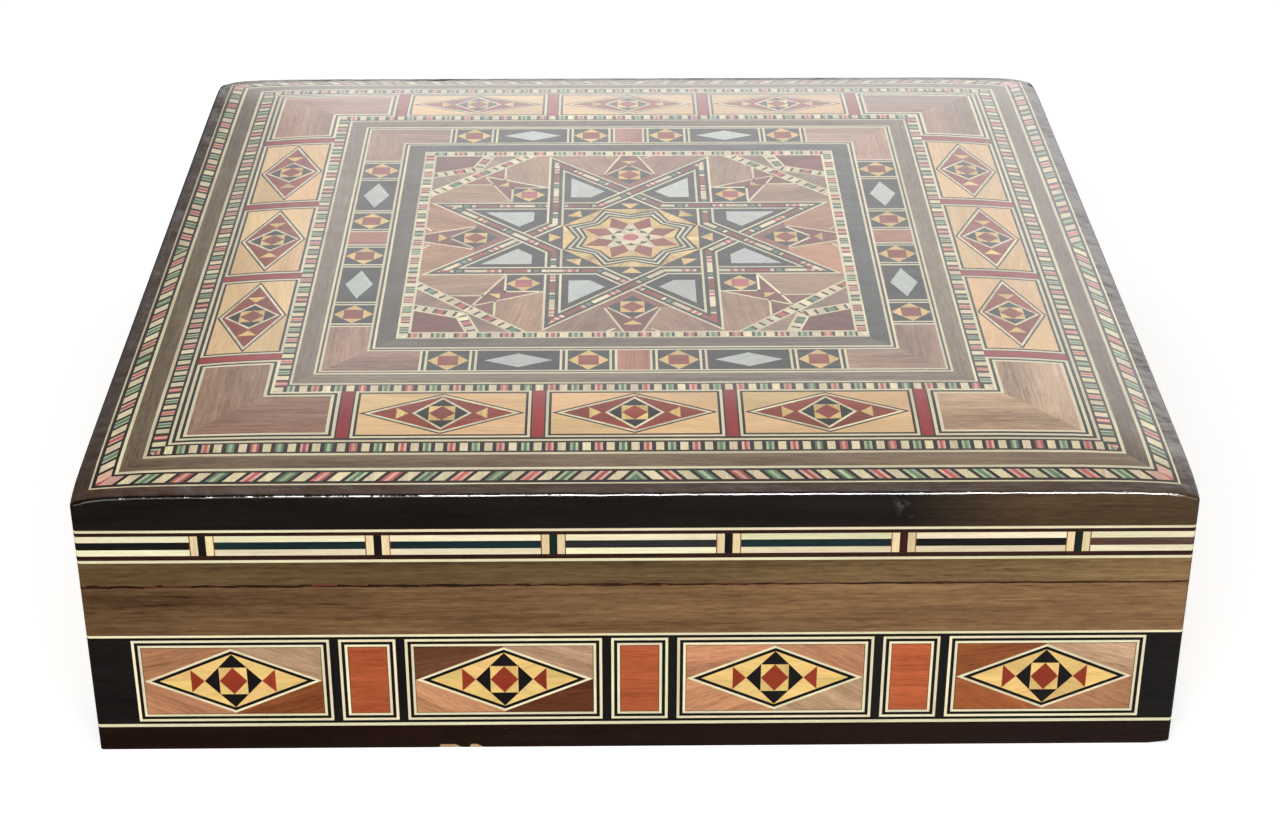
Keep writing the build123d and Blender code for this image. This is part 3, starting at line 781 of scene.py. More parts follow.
def metal(name, colour, roughness, tarnish):
    """Drawn metal with fine scratches and darker tarnish in patches."""
    nodes = Nodes(name)
    place = nodes.place()
    scratches = nodes.drawn(place, 0.08, 3200.0, 3.0, 0.6)
    patches = nodes.noise(place, 240.0, 4.0, 0.6)
    nodes.set(
        Base_Color=nodes.mix(nodes.band(patches, 0.4, 0.75, 0.0, 0.75), light(colour), light(tarnish)),
        Metallic=1.0,
        Roughness=nodes.band(scratches, 0.3, 0.7, roughness, roughness + 0.18),
        Normal=nodes.bump(scratches, 0.2, 0.0001),
    )
    return nodes.owner


walnut = wood("walnut_veneer", 0.34, 0.55, 110.0)
figured = wood("figured_walnut", 0.26, 0.45, 150.0)
stringing = wood("pale_stringing", 0.10, 0.12, 300.0)
dark_wood = wood("dark_wood", 0.30, 0.3, 160.0, 0.05)
edge_wood = wood("edge_wood", 0.30, 0.3, 160.0, 0.05, 0.85)
block_wood = wood("stained_blocks", 0.16, 0.25, 260.0)
lemonwood = wood("lemonwood", 0.12, 0.12, 160.0)
padauk = wood("padauk", 0.22, 0.6, 150.0)
shell = mother_of_pearl()
beech_x = plain_wood("beech_along_x", (0.05, 1.0, 1.0))
beech_y = plain_wood("beech_along_y", (1.0, 0.05, 1.0))
red_velvet = velvet("red_velvet", (0.42, 0.05, 0.08))
green_felt = velvet("green_felt", (0.12, 0.20, 0.14))
brass = metal("hinge_brass", (0.80, 0.64, 0.34), 0.2, (0.46, 0.32, 0.15))
steel = metal("pin_steel", (0.66, 0.65, 0.63), 0.24, (0.40, 0.36, 0.32))

# ---------------------------------------------------------------- upright sides
FOOT_TOP = 6.4
FOOT_LINE_TOP = 7.2
MOSAIC_TOP = 31.2
MOSAIC_LINE_TOP = 31.8
MOSAIC_MIDDLE = (FOOT_LINE_TOP + MOSAIC_TOP) / 2
MOSAIC_PITCH = 31.1
FRONT_DRIFT = 0.8
PANEL = (45.0, 22.5)
BLOCK_WIDTH = 13.0
LOZENGE = (20.3, 8.9)
LOZENGE_LINES = ((0.58, "ivory"), (0.78, "ebony"))
CORE_X = 6.5
CORE_GAP = 0.03
CORE_SQUARE_X = 3.2
CORE_TRIANGLE = (0.1, 3.2)
FRAME_LINES = ((0.62, "ivory"), (0.76, "ebony"), (0.6, "ivory"), (0.14, "dark"))
SPANDREL_STAINS = (
    "pink_walnut", "red_brown", "tan_walnut", "pink_walnut",
    "pink_walnut", "dark_walnut", "tan_walnut", "umber",
    "pink_walnut", "tan_walnut", "pink_walnut", "pink_walnut",
    "red_brown", "pink_walnut", "tan_walnut", "red_brown",
)
SPANDREL_GRAINS = (-20, 20, -20, 10, -25, 10, -15, 5, 20, -25, -20, 0, -25, -20, -15, 15)


def lozenge_ends(inlay, place, shape, core, ground, triangle, gaps, lean, spread, height=None):
    """Both ends of a lozenge beyond its core diamond, each with a triangle that points at the core."""
    cx, cy, rx, ry = shape
    core_x, core_y = core
    for hand in HANDS:
        tip = (cx + hand * (core_x + gaps[0]), cy)
        base = cx + hand * (core_x + gaps[1])
        edge = ry * (1 - (core_x + gaps[1]) / rx)
        high = min(height, edge * 0.85) if height else edge
        for up in HANDS:
            peak = (cx, cy + up * core_y)
            shoulder = [peak, (cx, cy + up * ry), (base, cy + up * edge), (base, cy + up * high), tip]
            inlay.lay(place, shoulder, ground, up * hand * lean, spread)
            if height:
                inlay.lay(place, [peak, tip, (cx + hand * core_x, cy)], ground, 0, spread)
            inlay.lay(place, [(base, cy), (base, cy + up * edge), (cx + hand * rx, cy)], ground, 0, spread)
        inlay.lay(place, [tip, (base, cy + high), (base, cy - high)], triangle, 90)


def star_core(inlay, place, cx, cy, rx, ry, half_x=None, turn=90):
    """A black diamond holding a pale square with a small red-brown diamond set into it."""
    half_x, half_y = half_x or rx / 2, ry / 2
    corners = square_at(cx, cy, half_x, half_y)
    peaks = diamond(cx, cy, rx, ry)
    for index, corner in enumerate(corners):
        other, peak = corners[(index + 1) % 4], peaks[(index + 1) % 4]
        inlay.lay(place, [corner, peak, other], "ebony", turn * index)
        ends = halfway(corner, corners[index - 1]), halfway(corner, other)
        inlay.lay(place, [ends[0], corner, ends[1]], "lemon", turn * index)
        inlay.lay(place, [peaks[index], peak, corner], "ebony", turn * index)
    inlay.lay(place, diamond(cx, cy, half_x, half_y), "redwood", 0)


def spandrels(inlay, place, shape, opening, looks):
    """The four pieces between a lozenge and its panel. looks gives the stain, grain and spread of each."""
    cx, cy, rx, ry = shape
    for index, (x, y) in enumerate(rectangle(*opening)):
        tip = (cx + math.copysign(rx, x - cx), cy)
        peak = (cx, cy + math.copysign(ry, y - cy))
        inlay.lay(place, [(x, y), (cx, y), peak, tip, (x, cy)], *looks(index))


def side_mosaic():
    frames = Inlay("base_panel_frames_laid", stringing, "ivory_line", "base_panel_frames")
    ground = Inlay("base_ebony_ground_laid", dark_wood, "ebony", "base_ebony_ground")
    corners = Inlay("base_spandrels_laid", figured, "figured_walnut", "base_panel_spandrels")
    lozenges = Inlay("base_lozenges_laid", lemonwood, "lemonwood", "base_panel_lozenges")
    blocks = Inlay("base_padauk_laid", padauk, "padauk", "base_padauk_blocks")
    low, high = MOSAIC_MIDDLE - PANEL[1] / 2, MOSAIC_MIDDLE + PANEL[1] / 2
    for side in range(4):
        place = Side(side)
        ground.lay(place, rectangle(-HALF, HALF, FOOT_LINE_TOP, low), "ebony")
        ground.lay(place, rectangle(-HALF, HALF, high, MOSAIC_TOP), "ebony")
        edge = -HALF
        for step in range(-3, 4):
            middle = step * MOSAIC_PITCH + (0 if side else FRONT_DRIFT)
            half_w = (PANEL[0] if step % 2 else BLOCK_WIDTH) / 2
            ground.lay(place, rectangle(edge, middle - half_w, low, high), "ebony", 0 if step == -3 else 90)
            edge = middle + half_w
            opening = lines(frames, place, middle - half_w, edge, low, high, FRAME_LINES)
            if step % 2 == 0:
                blocks.lay(place, rectangle(*opening), "padauk", 0, 0.06)
                continue

            def looks(index):
                number = (index + 2 * (step + 3) + 5 * side) % 16
                return SPANDREL_STAINS[number], SPANDREL_GRAINS[number] + rng.uniform(-8, 8), 0.08

            shape = (middle, MOSAIC_MIDDLE, *LOZENGE)
            spandrels(corners, place, shape, opening, looks)
            shape = diamond_lines(frames, place, shape, LOZENGE_LINES)
            core = (CORE_X, shape[3] - CORE_GAP)
            lozenge_ends(lozenges, place, shape, core, "lemon", "redwood", CORE_TRIANGLE, 20, 0.04)
            star_core(lozenges, place, middle, MOSAIC_MIDDLE, *core, CORE_SQUARE_X, 40)
        ground.lay(place, rectangle(edge, HALF, low, high), "ebony")


# The bottom edge: height of the worn strip, its worn ends, and the two chips in it with their sloping ends
CHIP_TOP = 0.85
WORN_LIFT = 0.2
WORN_ENDS = (5, 1.2)
CHIPS = ((-46.0, -40.6), (-38.9, -35.5))
CHIP_SLOPES = (0.4, 1.6)


def foot_strips():
    foot = Inlay("base_foot_laid", dark_wood, "dark_moulding", "base_foot_strips")
    for side in range(4):
        place = Side(side)
        foot.lay(place, rectangle(-HALF, HALF, CHIP_TOP, FOOT_TOP), "foot", 0, 0.04)
        low = rectangle(-HALF, HALF, 0, CHIP_TOP)
        if side == 0:
            low[1:2] = [(HALF - WORN_ENDS[0], 0), (HALF, CHIP_TOP - WORN_LIFT)]
        if side == 1:
            low[0:1] = [(-HALF, CHIP_TOP - WORN_LIFT), (-HALF + WORN_ENDS[1], 0)]
        start = -HALF
        for left, right in () if side else CHIPS:
            left_top, right_top = left + CHIP_SLOPES[0], right - CHIP_SLOPES[1]
            foot.lay(place, clip(clip(low, 1, 0, left), -1, 0, -start), "foot", 0, 0.04)
            slope = [(left, 0), (right, 0), (right_top, CHIP_TOP), (left_top, CHIP_TOP)]
            foot.lay(place, slope, "bare_wood", 0, 0.08)
            foot.lay(place, [(left, 0), (left_top, CHIP_TOP), (left, CHIP_TOP)], "foot", 0, 0.04)
            foot.lay(place, [(right, 0), (right, CHIP_TOP), (right_top, CHIP_TOP)], "foot", 0, 0.04)
            start = right
        foot.lay(place, clip(low, -1, 0, -start), "foot", 0, 0.04)


SKIRT_TOP = level("lid_walnut_bands", 1)
MOULDING_BOTTOM = level("lid_edge_mouldings", 0)
BAR_LOW = SKIRT_TOP + 0.7
BAR_HIGH = MOULDING_BOTTOM - 0.58
BAR_LINE_BOTTOM = 52.3
BAR_MIDDLE = (BAR_LINE_BOTTOM + level("lid_bar_ground", 1)) / 2
BAR_PITCH = 39.1
BAR_DIVIDER = 1.8
BAR_HEIGHT = 5.1
BAR_SLOT = 1.95
BAR_CAP = 1.9
BAR_JOINT = 0.25
BAR_DRIFT = 1.05
BAR_STAINS = ("ebony", "teal", "teal", "slate_bar", "teal", "ebony", "bar_brown")
DIVIDER_STAINS = ("ebony", "ebony", "dark_green", "ebony", "dark_red", "dark_green")


def side_stringing():
    base_lines = Inlay("base_stringing_laid", stringing, "ivory_line", "base_stringing")
    side_line(base_lines, FOOT_TOP, FOOT_LINE_TOP, "ivory")
    side_line(base_lines, MOSAIC_TOP, MOSAIC_LINE_TOP, "ivory")
    lid_lines = Inlay("lid_stringing_laid", stringing, "ivory_line", "lid_side_stringing")
    side_line(lid_lines, SKIRT_TOP, BAR_LOW, "ivory")
    side_line(lid_lines, BAR_HIGH, MOULDING_BOTTOM, "ivory")


def bar_banding():
    """Pairs of pale rails with a dark bar between them, in boxes closed by pale caps."""
    rails = Inlay("lid_bar_rails_laid", stringing, "ivory_line", "lid_bar_frames")
    bars = Inlay("lid_bar_ground_laid", dark_wood, "ebony", "lid_bar_ground")
    low, high = BAR_MIDDLE - BAR_HEIGHT / 2, BAR_MIDDLE + BAR_HEIGHT / 2
    slot_low, slot_high = BAR_MIDDLE - BAR_SLOT / 2, BAR_MIDDLE + BAR_SLOT / 2
    half_divider = BAR_DIVIDER / 2
    for side in range(4):
        place = Side(side)
        bars.lay(place, rectangle(-HALF, HALF, BAR_LOW, low), "bar_edge")
        bars.lay(place, rectangle(-HALF, HALF, high, BAR_HIGH), "bar_edge")
        dividers = [(step + 0.5) * BAR_PITCH + (0 if side else BAR_DRIFT) for step in range(-3, 3)]
        for number, divider in enumerate(dividers):
            outline = rectangle(divider - half_divider, divider + half_divider, low, high)
            bars.lay(place, outline, DIVIDER_STAINS[(number + side) % 6], 90)
        starts = [-HALF] + [divider + half_divider for divider in dividers]
        ends = [divider - half_divider for divider in dividers] + [HALF]
        for number, (x0, x1) in enumerate(zip(starts, ends)):
            cap0 = x0 + BAR_CAP if number else x0
            cap1 = x1 - BAR_CAP if number < len(dividers) else x1
            rails.lay(place, rectangle(cap0, cap1, low, slot_low), "ivory")
            rails.lay(place, rectangle(cap0, cap1, slot_high, high), "ivory")
            for tip, root in ((x0, cap0), (x1, cap1)):
                if tip != root:
                    joint = root + math.copysign(BAR_JOINT, tip - root)
                    rails.lay(place, rectangle(*sorted((tip, joint)), low, high), "cap", 90)
                    rails.lay(place, rectangle(*sorted((joint, root)), low, high), "red_brown", 90, 0.2)
            bars.lay(place, rectangle(cap0, cap1, slot_low, slot_high), BAR_STAINS[(number + 2 * side) % 7])


def shaded_worn_rim(inlay, side, up):
    """A ragged dark line along a rim: painted shade of the seam gap together with chipped lacquer. up is -1
    for the base, 1 for the lid.
    """
    rim = SEAM + up * SEAM_GAP / 2
    at, deep = -HALF, 0.2
    while at < HALF:
        end = min(HALF, at + rng.uniform(1.2, 4.5))
        fresh = rng.uniform(0.04, 0.3 - 0.1 * at / HALF)
        # Each segment is painted shade of the seam gap together with chipped lacquer
        outline = [(at, rim), (end, rim), (end, rim + up * fresh), (at, rim + up * deep)]
        inlay.lay(ShadedWornSide(side), outline, "seam_shade_wear_dark" if rng.random() < 0.7 else "seam_shade_wear_red", 0, 0.2)
        at, deep = end, fresh


def walnut_bands():
    """The plain bands, lighter to the right as in the photo, and the painted shade and wear along the seam
    between them.
    """
    base = Inlay("base_walnut_laid", walnut, "walnut", "base_walnut_bands")
    seam = Inlay("base_seam_wear", walnut, "walnut", depth=0.1)
    lid_seam = Inlay("lid_seam_wear", walnut, "walnut", depth=0.1)
    lid = Inlay("lid_walnut_laid", walnut, "walnut", "lid_walnut_bands")
    base_band = rectangle(-HALF, HALF, MOSAIC_LINE_TOP, SEAM - SEAM_GAP / 2)
    lid_band = rectangle(-HALF, HALF, SEAM + SEAM_GAP / 2, SKIRT_TOP)

    def base_shade(x, y):
        return 0.97 + 0.29 * x / HALF

    def lid_shade(x, y):
        return 0.66 + 0.31 * x / HALF + 0.3 * (x / HALF) ** 2

    for side in range(4):
        base.lay(Side(side), base_band, "walnut", 0, 0.01, base_shade)
        lid.lay(Side(side), lid_band, "walnut", 0, 0.01, lid_shade)
        # Painted shade along the seam gap, with chipped lacquer, on the base rim and the lid rim
        shaded_worn_rim(seam, side, -1)
        shaded_worn_rim(lid_seam, side, 1)


# The edge moulding: its rounding, the bevel at its foot, where it is cut along its length, and how its face
# pales towards the right, most on the front
EDGE_ROUND = 0.65
EDGE_BEVEL = 0.15
EDGE_CUTS = (0, 30, 60, 90, 105, 112, 117, 121)
PALE_FROM = 68
PALE_OVER = 60
PALE_MOST = (0.34, 0.2, 0.2, 0.2)
BORDER_POINTS = 3


def moulding_profile():
    """The strip's outline as distances out and heights, or None and how far it lies under the crown."""
    points = [(ROPE, None, 0.0), ((ROPE + HALF) / 2, None, 0.0), (HALF - EDGE_ROUND * 1.6, None, 0.0)]
    for step in range(7):
        angle = step / 6 * QUARTER
        out = HALF - EDGE_ROUND + EDGE_ROUND * math.sin(angle)
        points.append((out, None, EDGE_ROUND * (1 - math.cos(angle))))
    points += [(HALF, MOULDING_BOTTOM + EDGE_BEVEL, 0.0), (HALF - EDGE_BEVEL, MOULDING_BOTTOM, 0.0)]
    points += [(HALF - VENEER, MOULDING_BOTTOM, 0.0), (HALF - VENEER, None, VENEER)]
    return points + [(ROPE, None, VENEER)]


def moulding_point(side, x, angle, out, height, drop):
    """A point of the strip in the frame. angle is how far it has turned round the box's upright edge."""
    if angle and out > HALF - CORNER_ROUND:
        spot = round_corner(x, angle, out)
    elif angle:
        spot = (math.copysign(out, x), -out)
    else:
        spot = (max(-out, min(out, x)), -out)
    px, py = turned(spot, side * QUARTER)
    z = FLAT_TOP - crown_drop(px, py) - drop if height is None else height
    return (px * MM, py * MM, z * MM)


def edge_mouldings():
    """Four glossy strips with a rounded edge, mitred at the corners."""
    ahead = [(x, 0.0) for x in (*EDGE_CUTS, HALF - CORNER_ROUND)]
    ahead += [(HALF - CORNER_ROUND, math.pi / 4 * step / 4) for step in range(1, 5)]
    stations = [(-x, -angle) for x, angle in reversed(ahead[1:])] + ahead
    profile = moulding_profile()
    around = [0.0]
    for first, second in zip(profile, profile[1:]):
        rise = (second[1] or EDGE_TOP - second[2]) - (first[1] or EDGE_TOP - first[2])
        around.append(around[-1] + math.hypot(second[0] - first[0], rise))
    bm = bmesh.new()
    grain = bm.loops.layers.float_vector.new("grain")
    stain = bm.loops.layers.float_color.new("stain")
    for side in range(4):
        shift = rng.uniform(-GRAIN_SHIFT, GRAIN_SHIFT)
        face_colour = stain_colour("moulding", 0.03)
        border_colour = stain_colour("border", 0.03)
        pale_colour = stain_colour("walnut", 0.03)
        rows = []
        for station in stations:
            rows.append([bm.verts.new(moulding_point(side, *station, *spot)) for spot in profile])
        for index, step in ((index, step) for index in range(len(rows) - 1) for step in range(len(profile))):
            other = (step + 1) % len(profile)
            spots = ((index, step), (index, other), (index + 1, other), (index + 1, step))
            face = bm.faces.new([rows[row][column] for row, column in spots])
            for loop, (row, column) in zip(face.loops, spots):
                x = stations[row][0]
                loop[grain] = ((x + shift) * MM, (around[column] + shift) * MM, 0.0)
                fade = max(0.0, min(PALE_MOST[side], (x - PALE_FROM) / PALE_OVER))
                colour = [dark + fade * (pale - dark) for dark, pale in zip(face_colour, pale_colour)]
                loop[stain] = (*(border_colour if column < BORDER_POINTS else colour), 1)
        for end in (rows[0], rows[-1][::-1]):
            for loop in bm.faces.new(end).loops:
                loop[grain] = (shift * MM, shift * MM, 0.0)
                loop[stain] = (*border_colour, 1)
    bmesh.ops.recalc_face_normals(bm, faces=bm.faces)
    mesh = bpy.data.meshes.new("lid_edge_laid")
    bm.to_mesh(mesh)
    bm.free()
    mesh.polygons.foreach_set("use_smooth", [True] * len(mesh.polygons))
    mesh.set_sharp_from_angle(angle=math.radians(35))
    add_piece("lid_edge_laid", mesh, edge_wood, "dark_moulding", "lid_edge_mouldings")


side_mosaic()
foot_strips()
side_stringing()
bar_banding()
walnut_bands()
edge_mouldings()


# ---------------------------------------------------------------- rings of the top
# Stringing beside the blocks of each banding, as stains and inner edges
ROPE_OUTSIDE = (("ivory", ROPE - 0.45), ("dark", ROPE_BLOCKS[1]))
ROPE_INSIDE = (("dark", 116.2), ("ivory", OUTER_WALNUT))
CHECK_OUTSIDE = (("ivory", 110.0), ("dark", CHECK_BLOCKS[1]))
CHECK_INSIDE = (("dark", 105.8), ("ivory", 105.1), ("dark", PANEL_OUT))
INNER_CHECK_INSIDE = (("dark", 81.0), ("ivory", INNER_WALNUT))


def outer_rings():
    rope = Inlay("top_rope_laid", block_wood, "banding", "top_rope_banding")
    rings(rope, ROPE, *ROPE_OUTSIDE)
    rope_banding(rope, *ROPE_BLOCKS)
    rings(rope, ROPE_BLOCKS[0], *ROPE_INSIDE)
    band = Inlay("top_outer_walnut_laid", walnut, "walnut", "top_outer_walnut_band")
    rings(band, OUTER_WALNUT, ("brown", CHECK), spread=0.06)
    check = Inlay("top_check_laid", block_wood, "banding", "top_check_banding")
    rings(check, CHECK, *CHECK_OUTSIDE)
    rings(check, CHECK_BLOCKS[0], *CHECK_INSIDE)
    check_banding(check, *CHECK_BLOCKS)
    inner = Inlay("top_inner_check_laid", block_wood, "banding", "top_inner_check_banding")
    check_banding(inner, INNER_CHECK_IN, INNER_CHECK)
    rings(inner, INNER_CHECK_IN, *INNER_CHECK_INSIDE)
    band = Inlay("top_inner_walnut_laid", walnut, "walnut", "top_inner_walnut_band")
    rings(band, INNER_WALNUT, ("grey_brown", INNER_WALNUT_IN), spread=0.06)


DIVIDER_HALF = 1.75
RED_HALF = 1.4
DIVIDER_PITCH = 44.45
CORNER_START = 1.5 * DIVIDER_PITCH + DIVIDER_HALF
CORNER_LINES = ((0.75, "ivory"), (0.7, "ebony"), (0.75, "ivory"))
TOP_LOZENGE = (19.15, 8.6)
TOP_LOZENGE_LINES = ((0.45, "dark"), (0.6, "ivory"))
TOP_FRAME = ((0.65, "ivory"), (0.6, "ebony"))
TOP_CORE = 6.9
TOP_CORE_GAP = 0.05
TOP_CORE_LINE = ((0.6, "ivory"),)
TOP_TRIANGLE = (0.8, 3.6)
TOP_TRIANGLE_HEIGHT = 2.5


def panel_ring():
    """The ring of lemonwood panels with red dividers, and a block at each corner."""
    dividers = Inlay("top_dividers_laid", block_wood, "red_wood", "top_red_dividers")
    frames = Inlay("top_frames_laid", stringing, "ivory_line", "top_panel_frames")
    grounds = Inlay("top_grounds_laid", lemonwood, "lemonwood", "top_panel_grounds")
    lozenges = Inlay("top_lozenges_laid", padauk, "red_wood", "top_panel_lozenges")
    edging = Inlay("top_corner_lines_laid", stringing, "ivory_line", "top_corner_stringing")
    blocks = Inlay("top_corner_blocks_laid", walnut, "figured_walnut", "top_corner_blocks")
    for side in range(4):
        place = Top(side)
        for step in (-1.5, -0.5, 0.5, 1.5):
            x = step * DIVIDER_PITCH
            dividers.lay(place, rectangle(x - RED_HALF, x + RED_HALF, INNER_CHECK, PANEL_OUT), "crimson", 90)
            for hand in HANDS:
                ends = sorted((x + hand * RED_HALF, x + hand * DIVIDER_HALF))
                dividers.lay(place, rectangle(*ends, INNER_CHECK, PANEL_OUT), "ebony", 90)
        for x in (-DIVIDER_PITCH, 0, DIVIDER_PITCH):
            half_w = DIVIDER_PITCH / 2 - DIVIDER_HALF
            opening = lines(frames, place, x - half_w, x + half_w, INNER_CHECK, PANEL_OUT, TOP_FRAME)
            shape = (x, (opening[2] + opening[3]) / 2, *TOP_LOZENGE)
            spandrels(grounds, place, shape, opening, lambda index: ("top_lemon", rng.uniform(-15, 15), 0.04))
            shape = diamond_lines(lozenges, place, shape, TOP_LOZENGE_LINES)
            core = (TOP_CORE, min(TOP_CORE, shape[3] - TOP_CORE_GAP))
            triangle = ("lemon", TOP_TRIANGLE, 0, 0.06, TOP_TRIANGLE_HEIGHT)
            lozenge_ends(lozenges, place, shape, core, "redwood", *triangle)
            star_core(lozenges, place, *diamond_lines(lozenges, place, (*shape[:2], *core), TOP_CORE_LINE))
        for hand in HANDS:
            pale = (side, hand) in ((0, 1), (1, -1))
            corner_block(edging, blocks, place, hand, "tan_walnut" if pale else "rose_walnut")


def corner_block(edging, blocks, place, hand, stain):
    """Half of the block at one end of a side, mitred on the diagonal, with its lines."""

    def lay(inlay, outline, *look):
        inlay.lay(place, [(hand * x, y) for x, y in outline], *look)

    outer, inner, start = PANEL_OUT, INNER_CHECK, CORNER_START
    for width, line in CORNER_LINES:
        for near, far in ((outer - width, outer), (inner, inner + width)):
            lay(edging, [(start, near), (near, near), (far, far), (start, far)], line, 0)
        end = [(start, inner), (start + width, inner + width), (start + width, outer - width), (start, outer)]
        lay(edging, end, line, 90)
        outer, inner, start = outer - width, inner + width, start + width
    lay(blocks, [(start, inner), (inner, inner), (outer, outer), (start, outer)], stain, 0, 0.08)


PADAUK_HALF = 3.9
TILE = 10.0
PEARL_GROUND = 19.8
PEARL_LOZENGE = (8.1, 3.5)
ROSETTE = 4.9
SPACER_LINES = ((0.6, "ivory"), (0.7, "ebony"), (0.6, "ivory"))


def rosette_tile(inlay, place, cx, cy, half, heart="redwood"):
    """A pale diamond with a red-brown square set upright in it."""
    corners = square_at(cx, cy, half * 0.5, half * 0.5)
    peaks = diamond(cx, cy, half, half)
    for index in range(4):
        other = (index + 1) % 4
        inlay.lay(place, [corners[index], peaks[other], corners[other]], "lemon", 90 * index)
    inlay.lay(place, corners, heart, 0)


def pearl_ring():
    """The ebony ring with pearl lozenges and rosettes, padauk at mid-side and walnut at the corners."""
    strings = Inlay("top_pearl_lines_laid", stringing, "ivory_line", "top_pearl_stringing")
    orange = Inlay("top_padauk_laid", padauk, "padauk", "top_padauk_blocks")
    tiles = Inlay("top_tiles_laid", dark_wood, "ebony", "top_ebony_tiles")
    rosettes = Inlay("top_rosettes_laid", lemonwood, "lemonwood", "top_tile_rosettes")
    pearls = Inlay("top_pearls_laid", shell, "pearl", "top_pearl_lozenges")
    woods = Inlay("top_walnut_corners_laid", walnut, "walnut", "top_walnut_corners")
    middle = (PEARL_OUT + PEARL_IN) / 2
    out = INNER_WALNUT_IN
    rings(strings, out, ("ivory", out - 0.6), ("dark", out - 1.1), ("ivory", PEARL_OUT))
    rings(strings, PEARL_IN, ("ivory", PEARL_IN - 0.6), ("dark", PEARL_IN - 1.2), ("ivory", DARK_FRAME))
    for side, hand in ((side, hand) for side in range(4) for hand in HANDS):
        place = Top(side)
        if hand < 0:
            mid_side = rectangle(-PADAUK_HALF, PADAUK_HALF, PEARL_IN, PEARL_OUT)
            orange.lay(place, mid_side, "pale_padauk", 90, 0.08)
        x = PADAUK_HALF
        for width in (TILE, PEARL_GROUND, TILE, None):
            for part, stain in SPACER_LINES:
                low, high = sorted((hand * x, hand * (x + part)))
                strings.lay(place, rectangle(low, high, PEARL_IN, PEARL_OUT), stain, 90)
                x += part
            if not width:
                continue
            low, high = sorted((hand * x, hand * (x + width)))
            centre_x = (low + high) / 2
            corners = rectangle(low, high, PEARL_IN, PEARL_OUT)
            reaches = PEARL_LOZENGE if width == PEARL_GROUND else (ROSETTE, ROSETTE)
            peaks = diamond(centre_x, middle, *reaches)
            tile(tiles, place, corners, peaks)
            if width == PEARL_GROUND:
                pearls.lay(place, peaks, "pearl", 0, 0.04)
            else:
                rosette_tile(rosettes, place, centre_x, middle, ROSETTE)
            x += width
        outline = [(x, PEARL_IN), (PEARL_IN, PEARL_IN), (PEARL_OUT, PEARL_OUT), (x, PEARL_OUT)]
        woods.lay(place, [(hand * px, y) for px, y in outline], "corner_walnut", 0, 0.08)


def inner_frames():
    frame_wood = Inlay("top_dark_frame_laid", dark_wood, "ebony", "top_dark_frame")
    out, end = DARK_FRAME, DARK_FRAME_IN
    for side, stain in enumerate(("taupe", "slate", "slate", "dark_taupe")):
        frame_wood.lay(Top(side), [(-out, out), (out, out), (end, end), (-end, end)], stain, 0, 0.04)
    rings(frame_wood, DARK_FRAME_IN, ("ivory", FINE_CHECK))
    fine = Inlay("top_fine_check_laid", block_wood, "banding", "top_fine_check_banding")
    check_banding(fine, FINE_CHECK_IN, FINE_CHECK, 2.8, 0.65)
    rings(fine, FINE_CHECK_IN, ("ivory", FIELD))


outer_rings()
panel_ring()
pearl_ring()
inner_frames()

# ---------------------------------------------------------------- star field
OUTER = 22.4
INNER = 17.9
PEARL_INSETS = (1.8, 3.4)
STRAP_LAYERS = ((0.6, "ivory"), (0.95, "ebony"), (1.4, None), (0.95, "ebony"), (0.6, "ivory"))
STRAP_RUN = (
    ("redwood", 6.0), ("ivory", 0.9), ("ebony", 0.7), ("green", 1.4), ("ebony", 0.7), ("ivory", 0.9),
    ("cream", 4.2), ("ivory", 0.6), ("red", 1.1), ("cream", 0.8), ("red", 1.1), ("cream", 0.8),
    ("ebony", 0.6),
)


def straps():
    """The interlaced bands of the star, with striped wood along their middle."""
    inlay = Inlay("star_straps_laid", block_wood, "banding", "star_straps")
    run_length = sum(length for _, length in STRAP_RUN)
    for turn in range(8):
        place = Flat(45 * turn)
        outer = OUTER
        for width, stain in STRAP_LAYERS:
            inner = outer - width
            outlines = (
                ((-90, outer, 135), (-90, outer, -135), (-90, inner, -135), (-90, inner, 135)),
                ((-90, outer, -135), (-45, INNER, -135), (-45, INNER, -135), (-90, inner, -135)),
                ((-45, OUTER, -135), (0, outer, -135), (0, inner, -135), (-45, OUTER, -135)),
            )
            edges = (outer, outer, inner, inner)
            for crossings, grain in zip(outlines, (0, -45, -45)):
                outline = [meet(*crossing, edge) for crossing, edge in zip(crossings, edges)]
                if stain:
                    inlay.lay(place, outline, stain, grain, 0.06)
                    continue
                along = ray(1, grain)
                reaches = [x * along[0] + y * along[1] for x, y in outline]
                at = min(reaches) - rng.uniform(0, run_length)
                while at < max(reaches):
                    for hue, length in STRAP_RUN:
                        inlay.lay(place, between(outline, along, at, at + length), hue, grain, 0.1)
                        at += length
            outer = inner


def kites():
    ground = Inlay("star_kites_laid", dark_wood, "ebony", "star_ebony_kites")
    pearls = Inlay("star_pearls_laid", shell, "pearl", "star_pearl_kites")

    def corners(long_inset, short_inset):
        far, near = INNER - long_inset, OUTER + short_inset
        tips = [meet(-90, far, 135, far), meet(-90, far, 180, near)]
        return [*tips, meet(180, near, -135, near), meet(135, far, -135, near)]

    outer, inner = corners(0, 0), corners(*PEARL_INSETS)
    for turn in range(8):
        place = Flat(45 * turn)
        framed(ground, place, outer, inner, "ebony", 45)
        pearls.lay(place, inner, "pearl", 20, 0.05)


# The centre: the black arms' yellow triangles, the chevrons, and the pieces inside them by distance out
ARM_APEX = 18.3
ARM_BASE = (21.6, 2.6)
CHEVRON = (("ebony", 0.65), ("ivory", 0.5), ("teal", 0.75), ("ivory", 0.5), ("ebony", 0.6))
CHEVRON_NOTCH = 1.08
CHEVRON_POINT = 1.75
POINT = 19.1
NOTCH = 14.6
TIP_GAP = 0.4
SHOULDER = (8.5, 4)
KITE_BASE = 5.0
HEART = 2.2
LEMON_END, PINK_END, CREAM_END, TEAL_END, HUB = 9.6, 7.6, 5.2, 3.6, 2.0
TEAL_SIDE = (4.4, 0.8)


